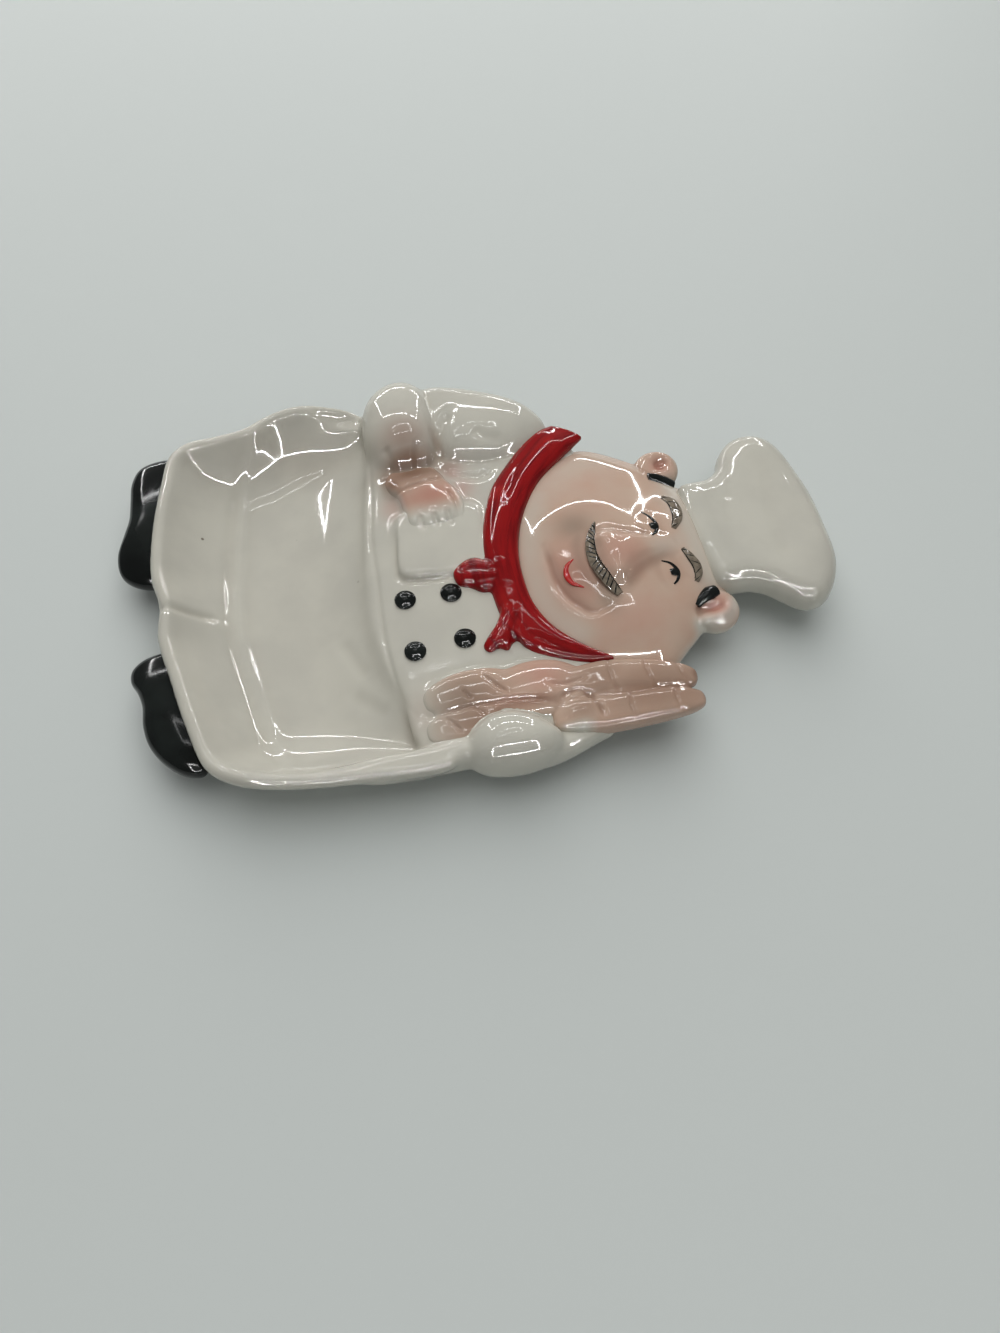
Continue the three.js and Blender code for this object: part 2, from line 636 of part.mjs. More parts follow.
const headBlock = planBlock(headOutline);
const bandBlock = planBlock(bandOutline);
const foreBlock = planBlock(foreOutline);
const leftSleeveBlock = planBlock(leftSleeveOutline);
const apronDish = cut(dish, foreBlock, leftSleeveBlock);
const coatFront = cut(
  coatForm, planBlock(dishOutline), headBlock, foreBlock, planBlock(upperOutline), leftSleeveBlock,
);
const upperSleeve = cut(upperForm, foreBlock, headBlock);
const head = cut(headForm, bandBlock);
const hatBand = cut(bandForm, planBlock(crownOutline));

const dishSwollen = swollen(dishFilled);
const coatSwollen = swollen(coatFilled);
const headSwollen = swollen(headFilled);
const foreSwollen = swollen(foreSleeve);
const upperSwollen = swollen(upperForm);
const leftSleeveSwollen = swollen(leftSleeve);
const bandSwollen = swollen(bandForm);

// Coat buttons, two by two

function buttonForm(i, j) {
  const x = WAIST_X + BUTTONS_FROM_WAIST + (i - 0.5) * BUTTON_PITCH_X;
  const y = BUTTONS_Y + (j - 0.5) * BUTTON_PITCH_Y;
  const seat = topOf(coatForm, x, y);
  const outline = planOutline(OVAL, [x, y], BUTTON_DIAMETER, BUTTON_DIAMETER, 14);
  const edge = seat + BUTTON_HEIGHT / 4;
  return cushion(outline, [x, y], seat + BUTTON_HEIGHT, edge, seat - BUTTON_SINK, 2, 3);
}

const buttonForms = [buttonForm(0, 1), buttonForm(1, 1), buttonForm(0, 0), buttonForm(1, 0)];

// Shoes, grown out of the end wall of the bowl

function shoe(shape, y, length, depth) {
  const middle = [shoeX, y];
  const outline = planOutline(shape, middle, depth, length, 24);
  const edge = lerp(SHOE_UNDERSIDE, SHOE_HEIGHT, 0.55);
  return cut(cushion(outline, middle, SHOE_HEIGHT, edge, SHOE_UNDERSIDE, 2.6, 4), dishSwollen);
}

const rightShoe = shoe(RIGHT_SHOE_OUTLINE, RIGHT_SHOE_Y, RIGHT_SHOE_LENGTH, RIGHT_SHOE_DEPTH);
const leftShoe = shoe(LEFT_SHOE_OUTLINE, LEFT_SHOE_Y, LEFT_SHOE_LENGTH, LEFT_SHOE_DEPTH);

// Foot ring, cut to the underside of the bowl and the chest

function footRing() {
  const middle = [FOOT_X, DISH_Y];
  const outer = planOutline(OVAL, middle, FOOT_LENGTH, FOOT_WIDTH, 32);
  const inside = 2 * FOOT_THICKNESS;
  const inner = planOutline(OVAL, middle, FOOT_LENGTH - inside, FOOT_WIDTH - inside, 32);
  const shape = new THREE.Shape(outer);
  shape.holes.push(new THREE.Path(inner));
  const tall = COAT_HEIGHT - WALL / 2;
  const ring = new THREE.ExtrudeGeometry(shape, { depth: tall, bevelEnabled: false });
  return cut(
    ring, dishSwollen, swollen(coatForm), swollen(headForm), foreSwollen, upperSwollen,
    leftSleeveSwollen,
  );
}

// Neckerchief: a roll round the neck that thins out under the left cheek, a knot and two tails

const neckMiddle = [headMiddle[0] + NECK_DEPTH, NECK_Y];
const neckRadius = neckMiddle[0] - (headMiddle[0] - HEAD_LENGTH / 2) - KERCHIEF_LAP;
const kerchiefHeight = coatTop(WAIST_X + COAT_LENGTH) + KERCHIEF_RISE;

class NeckCurve extends THREE.Curve {
  getPoint(share, target = new THREE.Vector3()) {
    const turn = THREE.MathUtils.degToRad(lerp(KERCHIEF_START_ANGLE, KERCHIEF_END_ANGLE, share));
    const flare = KERCHIEF_FLARE * (1 - share) ** 3;
    const sag = KERCHIEF_SAG * share ** 2 - KERCHIEF_TUCK * share ** 10;
    const radius = neckRadius + flare + sag;
    return target.set(
      neckMiddle[0] + Math.cos(turn) * radius,
      neckMiddle[1] + Math.sin(turn) * radius,
      0,
    );
  }
}

const neckCurve = new NeckCurve();
const kerchiefForm = roll(
  neckCurve, 17, 9,
  (share) => (KERCHIEF_WIDTH / 2) * (1 - 0.2 * share) * (1 - share ** 8 * 0.9),
  (share) => (KERCHIEF_THICKNESS / 2) * (1 - 0.25 * share ** 3),
  () => kerchiefHeight,
);
const kerchiefBand = cut(kerchiefForm, coatSwollen, headSwollen, upperSwollen, foreSwollen);
const kerchiefSwollen = swollen(kerchiefForm);

const knotPlace = neckCurve.getPointAt(KNOT_SHARE);
const knotMiddle = [knotPlace.x - KNOT_STANDOFF, knotPlace.y];
const knotForm = cushion(
  planOutline(OVAL, knotMiddle, KNOT_LENGTH, KNOT_WIDTH, 14),
  knotMiddle,
  kerchiefHeight + KERCHIEF_THICKNESS / 2,
  kerchiefHeight - KNOT_DROP,
  COAT_HEIGHT - WALL / 2,
  2.2, 4,
);
const knot = cut(knotForm, coatSwollen, kerchiefSwollen);
const knotSwollen = swollen(knotForm);

function tail(side, reach, swing) {
  const root = [knotPlace.x, knotPlace.y + side * KNOT_WIDTH * 0.3];
  const tip = [root[0] - TAIL_LENGTH * reach, root[1] + side * TAIL_LENGTH * swing];
  const bend = [lerp(root[0], tip[0], 0.5), lerp(root[1], tip[1], 0.5) + side * TAIL_WIDTH * 0.1];
  return roll(
    planCurve([root, bend, tip]), 7, 8,
    (share) => (TAIL_WIDTH / 2) * roundEnds(lerp(0.3, 1, share), 2),
    (share) => TAIL_RISE * 1.5 * roundEnds(lerp(0.4, 1, share), 2.4),
    (share) => lerp(kerchiefHeight, coatTop(tip[0]) + TAIL_TIP, share),
  );
}

const tailRightForm = tail(1, 0.94, 0.5);
const tailLeftForm = tail(-1, 0.72, 0.72);
const tailTools = [coatSwollen, kerchiefSwollen, knotSwollen, ...buttonForms.map(swollen)];
const tailRight = cut(tailRightForm, ...tailTools);
const tailLeft = cut(tailLeftForm, ...tailTools);

// Right hand and the napkin that hangs from it

const foreSleeveEnd = FORE_SLEEVE_Y - FORE_SLEEVE_LENGTH / 2;
const fistMiddle = [foreMiddle[0] + FIST_SHIFT, foreSleeveEnd - FIST_REACH];
const fistForm = cushion(
  planOutline(FIST_OUTLINE, fistMiddle, FIST_WIDTH, FIST_LENGTH, 22),
  fistMiddle, FIST_HEIGHT, COAT_HEIGHT + FIST_EDGE, COAT_HEIGHT - WALL / 2, 2.3, 4,
);
const fist = cut(fistForm, coatSwollen, foreSwollen, upperSwollen);

const fistEnd = fistMiddle[1] - FIST_LENGTH / 2;
const napkinMiddle = [fistMiddle[0] + NAPKIN_SHIFT, fistEnd + NAPKIN_TUCK - NAPKIN_LENGTH / 2];
const napkinTop = COAT_HEIGHT + COAT_RISE / 2 + NAPKIN_THICKNESS;
const napkinForm = cushion(
  planOutline(NAPKIN_OUTLINE, napkinMiddle, NAPKIN_WIDTH, NAPKIN_LENGTH, 20),
  napkinMiddle, napkinTop, napkinTop - NAPKIN_THICKNESS / 2, COAT_HEIGHT - WALL / 2, 5, 3,
);
const napkin = cut(
  napkinForm, coatSwollen, swollen(fistForm), kerchiefSwollen, swollen(tailRightForm), knotSwollen,
);

// Left hand: a palm, two fingers along the jaw and two lobes towards the bowl

const palmMiddle = [
  leftSleeveMiddle[0] + PALM_SHIFT,
  LEFT_SLEEVE_Y + LEFT_SLEEVE_WIDTH / 2 + PALM_OFFSET,
];
const fingerHeight = PALM_HEIGHT - FINGER_DEPTH / 2;
const palmForm = cushion(
  planOutline(OVAL, palmMiddle, PALM_LENGTH, PALM_WIDTH, 18),
  palmMiddle, PALM_HEIGHT, fingerHeight, COAT_LIP + WALL, 2.3, 4,
);
const palmSwollen = swollen(palmForm);
const palm = cut(palmForm, coatSwollen, leftSleeveSwollen, kerchiefSwollen, headSwollen);

function finger(route, reach, width, taper, fullness) {
  const points = route.map(([u, v]) => [palmMiddle[0] + u * reach, palmMiddle[1] + v * width]);
  return roll(
    planCurve(points), 9, 8,
    (share) => (width / 2) * (1 - taper * share) * fullness * roundEnds(share, 3),
    (share) => (FINGER_DEPTH / 2) * (1 - taper * share) * roundEnds(share, 3),
    () => fingerHeight,
  );
}

const fingerForms = [
  finger(FINGER_ROUTES[0], FINGER_REACH, FINGER_WIDTH, 0.2, 1),
  finger(FINGER_ROUTES[1], FINGER_REACH, FINGER_WIDTH, 0.25, 1),
  finger(LOBE_ROUTES[0], LOBE_REACH, LOBE_WIDTH, 0, 1),
  finger(LOBE_ROUTES[1], LOBE_REACH, LOBE_WIDTH, 0, 0.9),
];
const fingers = fingerForms.map((form, i) =>
  cut(
    form, coatSwollen, headSwollen, leftSleeveSwollen, kerchiefSwollen, palmSwollen,
    ...(i % 2 ? [swollen(fingerForms[i - 1])] : []),
    dishSwollen,
  ),
);

// Face

const nosePlace = [headMiddle[0] - NOSE_DROP, NOSE_Y];
const noseForm = new THREE.SphereGeometry(1, 16, 9);
noseForm.scale(NOSE_LENGTH / 2, NOSE_WIDTH / 2, NOSE_RISE + NOSE_SINK);
noseForm.translate(...nosePlace, topOf(head, ...nosePlace) - NOSE_SINK);
const nose = cut(noseForm, headSwollen);
const noseSwollen = swollen(mergeVertices(noseForm.deleteAttribute("normal").deleteAttribute("uv")));

function faceRoll(points, width, rise, power) {
  const curve = planCurve(points);
  const heights = (share) => {
    const spot = curve.getPointAt(share);
    return topOf(headForm, spot.x, spot.y);
  };
  return roll(
    curve, 8, 6,
    (share) => (width / 2) * roundEnds(share, power),
    (share) => (rise + CLEARANCE) * roundEnds(share, power * 2),
    heights,
  );
}

function moustache(side) {
  const half = (side * MOUSTACHE_SPAN) / 2;
  const lip = nosePlace[0] - NOSE_LENGTH / 2;
  const form = faceRoll(
    [
      [lip + MOUSTACHE_CURL * 0.07, MOUSTACHE_Y + half * 0.06],
      [lip + MOUSTACHE_CURL * 0.22, MOUSTACHE_Y + half * 0.5],
      [lip + MOUSTACHE_CURL, MOUSTACHE_Y + half],
    ],
    MOUSTACHE_WIDTH, MOUSTACHE_RISE, 2.6,
  );
  return cut(form, headSwollen, noseSwollen);
}

function browForm(side) {
  const middle = FACE_Y + (side * BROW_SPACING) / 2;
  const peak = hatX - BROW_FROM_HAT;
  return faceRoll(
    [
      [peak - BROW_ARCH, middle - BROW_LENGTH / 2],
      [peak, middle],
      [peak - BROW_ARCH, middle + BROW_LENGTH / 2],
    ],
    BROW_WIDTH, BROW_RISE, 2.2,
  );
}

const rightBrow = browForm(1);
const leftBrow = browForm(-1);

// Ears and the hair in front of them

// Edge of the face in plan at the hat, on the figure's right or left.
function faceEdge(side) {
  let edge = HEAD_Y;
  headOutline.forEach((point, i) => {
    const next = headOutline[(i + 1) % headOutline.length];
    const share = (hatX - point.x) / (next.x - point.x);
    const y = lerp(point.y, next.y, share);
    if (share >= 0 && share < 1 && side * (y - edge) > 0) edge = y;
  });
  return edge;
}

const rightEarY = faceEdge(1) + RIGHT_EAR_OUT;
const leftEarY = faceEdge(-1) - LEFT_EAR_OUT;

function earForm(y) {
  const middle = [hatX, y];
  const edge = lerp(EAR_UNDERSIDE, EAR_HEIGHT, 0.55);
  const outline = planOutline(OVAL, middle, EAR_LENGTH, EAR_WIDTH, 18);
  return cushion(outline, middle, EAR_HEIGHT, edge, EAR_UNDERSIDE, 2.4, 3);
}

function sideburn(side, earY, ear, brow) {
  const root = [hatX - SIDEBURN_FROM_HAT, earY - side * SIDEBURN_FROM_EAR];
  const slant = side * SIDEBURN_LENGTH * -0.35;
  const tip = [root[0] + SIDEBURN_LENGTH * 0.8, root[1] + slant];
  const middle = [(root[0] + tip[0]) / 2, (root[1] + tip[1]) / 2 + side * SIDEBURN_WIDTH * 0.1];
  const form = faceRoll([root, middle, tip], SIDEBURN_WIDTH, SIDEBURN_RISE, 2.4);
  return cut(form, headSwollen, bandSwollen, swollen(ear), swollen(brow));
}

const rightEarForm = earForm(rightEarY);
const leftEarForm = earForm(leftEarY);

// Finishes

function glaze(colour) {
  return () => new THREE.MeshStandardMaterial({ color: colour, roughness: 0.15, metalness: 0 });
}

const white = glaze(0xe6e0d2);
const skinTone = glaze(0xd2a38c);
const red = glaze(0x93221f);
const black = glaze(0x1c1d1d);
const grey = glaze(0x877b70);
const bisque = () =>
  new THREE.MeshStandardMaterial({ color: 0xd9cdb8, roughness: 0.9, metalness: 0 });

const figure = new THREE.Group();

function place(name, geometry, finish) {
  const mesh = new THREE.Mesh(geometry, finish());
  mesh.name = name;
  figure.add(mesh);
}

place("apron_dish", apronDish, white);
place("coat_front", coatFront, white);
place("foot_ring", footRing(), bisque);
place("right_shoe", rightShoe, black);
place("left_shoe", leftShoe, black);
place("right_upper_sleeve", upperSleeve, white);
place("right_fore_sleeve", foreSleeve, white);
place("right_fist", fist, skinTone);
place("napkin", napkin, white);
place("left_sleeve", leftSleeve, white);
place("left_palm", palm, skinTone);
place("left_finger_1", fingers[0], skinTone);
place("left_finger_2", fingers[1], skinTone);
place("left_hand_lobe_1", fingers[2], skinTone);
place("left_hand_lobe_2", fingers[3], skinTone);
place("kerchief_band", kerchiefBand, red);
place("kerchief_knot", knot, red);
place("kerchief_tail_right", tailRight, red);
place("kerchief_tail_left", tailLeft, red);
place("head", head, skinTone);
place("nose", nose, skinTone);
place("moustache_right", moustache(1), grey);
place("moustache_left", moustache(-1), grey);
place("right_brow", cut(rightBrow, headSwollen, bandSwollen), grey);
place("left_brow", cut(leftBrow, headSwollen, bandSwollen), grey);
place("right_ear", cut(rightEarForm, headSwollen, bandSwollen), skinTone);
place("left_ear", cut(leftEarForm, headSwollen, bandSwollen), skinTone);
place("right_sideburn", sideburn(1, rightEarY, rightEarForm, rightBrow), black);
place("left_sideburn", sideburn(-1, leftEarY, leftEarForm, leftBrow), black);
place("hat_band", hatBand, white);
place("hat_crown", crown, white);
buttonForms.forEach((form, i) => {
  place(`coat_button_${i + 1}`, cut(form, coatSwollen), black);
});

// The origin is the middle of the figure's plan, on the table
const box = new THREE.Box3().setFromObject(figure);
const middle = box.getCenter(new THREE.Vector3());
figure.position.set(-middle.x, -middle.y, -box.min.z);
figure.updateMatrixWorld(true);

export default figure;
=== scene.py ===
import math

import bpy
import numpy as np
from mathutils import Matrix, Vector
from mathutils.bvhtree import BVHTree


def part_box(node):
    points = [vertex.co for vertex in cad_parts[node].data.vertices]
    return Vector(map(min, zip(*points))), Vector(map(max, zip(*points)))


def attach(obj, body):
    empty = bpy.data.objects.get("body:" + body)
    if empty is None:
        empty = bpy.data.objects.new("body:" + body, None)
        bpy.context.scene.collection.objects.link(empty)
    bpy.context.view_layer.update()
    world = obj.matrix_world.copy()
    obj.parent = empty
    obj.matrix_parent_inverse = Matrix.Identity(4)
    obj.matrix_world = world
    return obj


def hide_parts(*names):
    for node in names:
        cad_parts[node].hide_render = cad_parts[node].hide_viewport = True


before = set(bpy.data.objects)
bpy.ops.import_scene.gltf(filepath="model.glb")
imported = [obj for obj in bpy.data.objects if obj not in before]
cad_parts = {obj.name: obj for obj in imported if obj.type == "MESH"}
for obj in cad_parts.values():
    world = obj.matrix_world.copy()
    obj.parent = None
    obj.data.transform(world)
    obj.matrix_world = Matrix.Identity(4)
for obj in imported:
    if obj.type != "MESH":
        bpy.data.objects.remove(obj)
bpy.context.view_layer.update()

mm = 0.001

# Places are millimetres on the figure's own drawing; the foot ring carries them to the frame
ringMiddle = (-34, 5)
ringLow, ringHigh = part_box("foot_ring")
shift = np.array([(ringLow[i] + ringHigh[i]) / 2 / mm - ringMiddle[i] for i in (0, 1)] + [0.0])


def toFrame(spots):
    return (np.asarray(spots) + shift) * mm


# Curves and heights

def bulge(share, power):
    return (1 - (1 - np.clip(share, 0, 1)) ** power) ** (1 / power)


def ease(value, low, high):
    share = np.clip((value - low) / (high - low), 0, 1)
    return share * share * (3 - 2 * share)


def curveThrough(points, count, closed=False):
    here = np.asarray(points, float)
    if closed:
        before, after, beyond = np.roll(here, 1, 0), np.roll(here, -1, 0), np.roll(here, -2, 0)
    else:
        padded = np.vstack([2 * here[0] - here[1], here, 2 * here[-1] - here[-2]])
        before, here, after, beyond = padded[:-3], padded[1:-2], padded[2:-1], padded[3:]
    gapA, gapB, gapC = (
        np.sqrt(np.linalg.norm(b - a, axis=1))[:, None]
        for a, b in ((before, here), (here, after), (after, beyond))
    )
    leave = gapB * ((here - before) / gapA - (after - before) / (gapA + gapB)) + (after - here)
    arrive = (after - here) - gapB * ((beyond - here) / (gapB + gapC) - (beyond - after) / gapC)
    run = []
    for t in np.linspace(0, 1, 24, endpoint=False):
        run.append(
            (2 * t**3 - 3 * t**2 + 1) * here + (t**3 - 2 * t**2 + t) * leave
            + (3 * t**2 - 2 * t**3) * after + (t**3 - t**2) * arrive
        )
    run = np.stack(run, 1).reshape(-1, here.shape[1])
    run = np.vstack([run, run[:1] if closed else after[-1:]])
    along = np.r_[0, np.cumsum(np.linalg.norm(np.diff(run, axis=0), axis=1))]
    stops = np.linspace(0, along[-1], count, endpoint=not closed)
    return np.stack([np.interp(stops, along, axis) for axis in run.T], 1)


def circle(count):
    turn = np.linspace(0, 2 * math.pi, count, endpoint=False)
    return np.stack([np.cos(turn), np.sin(turn)], 1)


def cosSin(degrees):
    return math.cos(math.radians(degrees)), math.sin(math.radians(degrees))


# A form without an outline of its own is an oval
def planOutline(form, count=200):
    half = np.array([form.get("length", 2), form.get("width", 2)]) / 2
    if "outline" not in form:
        return circle(count) * half + form["middle"]
    return curveThrough(np.array(form["outline"]) * half + form["middle"], count, True)


def closedRun(outline):
    return np.vstack([outline, outline[:1]])


def directions(run):
    along = np.gradient(run, axis=0)
    return along / np.linalg.norm(along, axis=1)[:, None]


def leftOf(ways):
    return np.stack([-ways[:, 1], ways[:, 0]], 1)


def squared(wave, power):
    return np.sign(wave) * np.abs(wave) ** power


# Shares of the way in, close together at the edge
def edgeShares(steps):
    return 1 - np.cos(np.linspace(0, 1, steps, endpoint=False) * math.pi / 2)


# Distance in plan to a run of points, and how far along it the nearest place lies
def nearest(run, spots):
    flat = spots.reshape(-1, 2)
    steps = np.diff(run, axis=0)
    sizes = np.maximum((steps**2).sum(1), 1e-9)
    best = np.full(len(flat), np.inf)
    share = np.zeros(len(flat))
    for i, (start, step, size) in enumerate(zip(run, steps, sizes)):
        t = np.clip(((flat - start) @ step) / size, 0, 1)
        gap = ((flat - start - t[:, None] * step) ** 2).sum(1)
        nearer = gap < best
        best = np.where(nearer, gap, best)
        share = np.where(nearer, (i + t) / len(steps), share)
    shape = spots.shape[:-1]
    return np.sqrt(best).reshape(shape), share.reshape(shape)


# Closed forms from rings of points

def ringForm(rings):
    rings = np.asarray(rings)
    levels, count, _ = rings.shape
    points = np.vstack([rings.reshape(-1, 3), rings[0].mean(0), rings[-1].mean(0)])
    first, last = levels * count, levels * count + 1
    faces = []
    for i in range(count):
        j = (i + 1) % count
        faces.append((first, j, i))
        faces.append((last, (levels - 1) * count + i, (levels - 1) * count + j))
        for k in range(levels - 1):
            a, b = k * count, (k + 1) * count
            faces.append((a + i, a + j, b + j, b + i))
    return points, faces


# Levels run from the middle of the underside to the middle of the top: millimetres in from the
# outline, then a share of what is left, then the height there
def loftForm(outline, middle, levels, spine=0):
    across = np.clip(outline[:, 1] - middle[1], -spine, spine)
    centre = np.stack([np.full(len(outline), float(middle[0])), middle[1] + across], 1)
    radius = np.linalg.norm(outline - centre, axis=1)
    rings = []
    for inset, share, height in levels:
        way = (inset + share * (radius - inset)) / radius
        spots = outline + (centre - outline) * way[:, None]
        heights = height(spots) if callable(height) else np.full(len(spots), float(height))
        rings.append(np.column_stack([spots, heights]))
    return ringForm(rings)


def cushion(form, power, count=120, drop=0.0):
    edge, top, underside = form["edge"], form["top"] - drop, form["underside"]
    shares = edgeShares(16)
    levels = [(0, s, edge - (edge - underside) * bulge(s, power)) for s in shares[:0:-1]]
    levels += [(0, s, edge + (top - edge) * bulge(s, power)) for s in shares]
    return loftForm(planOutline(form, count), form["middle"], levels)


def rollForm(route, halfWidth, halfDepth, height, flatness, steps=60):
    run = curveThrough(route, steps + 1)
    out, up = squared(circle(40), flatness).T
    rings = []
    for spot, left, share in zip(run, leftOf(directions(run)), np.linspace(0, 1, steps + 1)):
        plan = spot + np.outer(out * halfWidth(share), left)
        rings.append(np.column_stack([plan, height(share) + up * halfDepth(share)]))
    return ringForm(rings)


def roundEnds(share, power):
    return np.maximum(1 - np.abs(2 * share - 1) ** power, 1e-4) ** (1 / power)


# Meshes: written in drawing millimetres, kept in metres at the frame's place

def addObject(name, data):
    piece = bpy.data.objects.new(name, data)
    bpy.context.scene.collection.objects.link(piece)
    return piece


def meshObject(name, points, faces):
    mesh = bpy.data.meshes.new(name)
    mesh.from_pydata(toFrame(points).tolist(), [], faces)
    mesh.update()
    return addObject(name, mesh)


def joinForms(forms):
    points, faces, start = [], [], 0
    for some, theirs in forms:
        points.append(some)
        faces += [tuple(i + start for i in face) for face in theirs]
        start += len(some)
    return np.vstack(points), faces


def bakedMesh(piece):
    graph = bpy.context.evaluated_depsgraph_get()
    return bpy.data.meshes.new_from_object(piece.evaluated_get(graph), depsgraph=graph)


def plainMesh(piece):
    mesh = bakedMesh(piece)
    piece.modifiers.clear()
    old, piece.data = piece.data, mesh
    bpy.data.meshes.remove(old)
    mesh.name = piece.name


def readVectors(items, key):
    flat = np.empty(len(items) * 3)
    items.foreach_get(key, flat)
    return flat.reshape(-1, 3)


def getPoints(piece):
    return readVectors(piece.data.vertices, "co") / mm - shift


def getNormals(piece):
    return readVectors(piece.data.vertex_normals, "vector")


def setPoints(piece, points):
    piece.data.vertices.foreach_set("co", toFrame(points).ravel())
    piece.data.update()


def neighbourMean(piece, values):
    pairs = np.empty(len(piece.data.edges) * 2, dtype=np.int32)
    piece.data.edges.foreach_get("vertices", pairs)
    a, b = pairs.reshape(-1, 2).T
    count = len(values)
    degree = np.maximum(np.bincount(a, minlength=count) + np.bincount(b, minlength=count), 1)
    columns = values.reshape(count, -1).T
    sums = [np.bincount(a, c[b], count) + np.bincount(b, c[a], count) for c in columns]
    return (np.stack(sums, 1) / degree[:, None]).reshape(values.shape)


# Softening, all over or by a weight for each point
def soften(piece, rounds, weight=1.0):
    points = getPoints(piece)
    pull = 0.5 * np.broadcast_to(weight, len(points))[:, None]
    for _ in range(rounds):
        points += pull * (neighbourMean(piece, points) - points)
    setPoints(piece, points)


# Forms run together as slip does in a mould, with the creases between them softened
def castForms(name, forms, voxel, rounds):
    piece = meshObject(name, *joinForms(forms))
    remesh = piece.modifiers.new("slip", "REMESH")
    remesh.mode = "VOXEL"
    remesh.voxel_size = voxel * mm
    plainMesh(piece)
    soften(piece, rounds)
    return piece


# The side that isn't seen needs fewer faces than the modelled one
def thinUnderside(piece, share):
    below = np.flatnonzero(getNormals(piece)[:, 2] < -0.2)
    group = piece.vertex_groups.new(name="underside")
    group.add(below.tolist(), 1.0, "REPLACE")
    thin = piece.modifiers.new("thin", "DECIMATE")
    thin.ratio = share
    thin.vertex_group = group.name
    plainMesh(piece)
    piece.vertex_groups.clear()


# How strongly a stroke is felt at each point, and how far along it that is
def strokeReach(points, route, halfWidth):
    gap, share = nearest(curveThrough(route, 30), points[:, :2])
    return np.exp(-((gap / halfWidth) ** 2)), share


def moundReach(points, spot, radii, turn):
    across = points[:, :2] - spot
    c, s = cosSin(turn)
    return np.exp(-(((across @ (c, s)) / radii[0]) ** 2 + ((across @ (-s, c)) / radii[1]) ** 2))


# Relief: strokes are (route, height, half width), mounds are (place, radii, turn, height)
def modelRelief(piece, strokes=(), mounds=()):
    points, normals = getPoints(piece), getNormals(piece)
    lift = np.zeros(len(points))
    for route, height, halfWidth in strokes:
        reach, share = strokeReach(points, route, halfWidth)
        ends = ease(share, 0, 0.2) * ease(1 - share, 0, 0.2)
        lift += height * (0.25 + 0.75 * ends) * reach
    for *mound, height in mounds:
        lift += height * moundReach(points, *mound)
    upper = ease(normals[:, 2], 0.05, 0.45)
    setPoints(piece, points + normals * (lift * upper)[:, None])


# Paint layers: sprays are (place, radii, turn, strength), bands are (route, half width, strength)
def sprayLayer(points, sprays=(), bands=()):
    layer = np.zeros(len(points))
    for *spray, strength in sprays:
        layer = np.maximum(layer, strength * moundReach(points, *spray))
    for route, halfWidth, strength in bands:
        layer = np.maximum(layer, strength * strokeReach(points, route, halfWidth)[0])
    return layer


def upperSide(piece):
    return ease(getNormals(piece)[:, 2], -0.3, 0.1)


def setLayers(piece, **layers):
    for name, values in layers.items():
        layer = piece.data.attributes.new(name, "FLOAT", "POINT")
        layer.data.foreach_set("value", np.asarray(values + np.zeros(len(layer.data)), np.float32))


# Hollows and creases, from 0 on open faces to 1 in a crease, where the glazes are painted darker: glaze that
# pools there, and painted shade
def hollowLayer(piece, depth):
    points = getPoints(piece)
    pull = ((neighbourMean(piece, points) - points) * getNormals(piece)).sum(1)
    for _ in range(6):
        pull = neighbourMean(piece, pull)
    setLayers(piece, hollow=np.clip(pull / depth, 0, 1))


def place(piece, material, slot, *nodes):
    piece.data.polygons.foreach_set("use_smooth", [True] * len(piece.data.polygons))
    piece.data.materials.clear()
    piece.data.materials.append(material)
    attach(piece, "root")
    if nodes:
        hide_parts(*nodes)
    print("piece", piece.name, len(piece.data.polygons), "faces")


# Glazes

def paint(red, green, blue):
    channels = [c / 255 for c in (red, green, blue)]
    return [c / 12.92 if c < 0.04045 else ((c + 0.055) / 1.055) ** 2.4 for c in channels] + [1.0]


def paints(**colours):
    return {name: paint(*channels) for name, channels in colours.items()}


class Wire:
    def __init__(self, tree, socket):
        self.tree = tree
        self.socket = socket

    def make(self, kind, inputs, output=0, **settings):
        node = self.tree.nodes.new(kind)
        for key, value in settings.items():
            setattr(node, key, value)
        for key, value in inputs.items():
            if isinstance(value, Wire):
                self.tree.links.new(value.socket, node.inputs[key])
            else:
                node.inputs[key].default_value = value
        return Wire(self.tree, node.outputs[output])

    def sibling(self, output):
        return Wire(self.tree, self.socket.node.outputs[output])

    def maths(self, operation, a, b):
        return self.make("ShaderNodeMath", {0: a, 1: b}, operation=operation)

    def __add__(self, other):
        return self.maths("ADD", self, other)

    def __sub__(self, other):
        return self.maths("SUBTRACT", self, other)

    def __mul__(self, other):
        return self.maths("MULTIPLY", self, other)

    def __rsub__(self, other):
        return self.maths("SUBTRACT", other, self)

    __radd__ = __add__
    __rmul__ = __mul__

    def ramp(self, low, high, first=0.0, last=1.0):
        return self.make("ShaderNodeMapRange", {
            "Value": self, "From Min": low, "From Max": high, "To Min": first, "To Max": last,
        }, interpolation_type="SMOOTHSTEP")

    def blend(self, first, last):
        return self.make("ShaderNodeMix", {0: self, 6: first, 7: last}, 2, data_type="RGBA")

    def noise(self, scale, detail=2.0):
        return self.make("ShaderNodeTexNoise", {"Vector": self, "Scale": scale, "Detail": detail})

    def layer(self, name):
        return self.make("ShaderNodeAttribute", {}, "Fac", attribute_name=name)


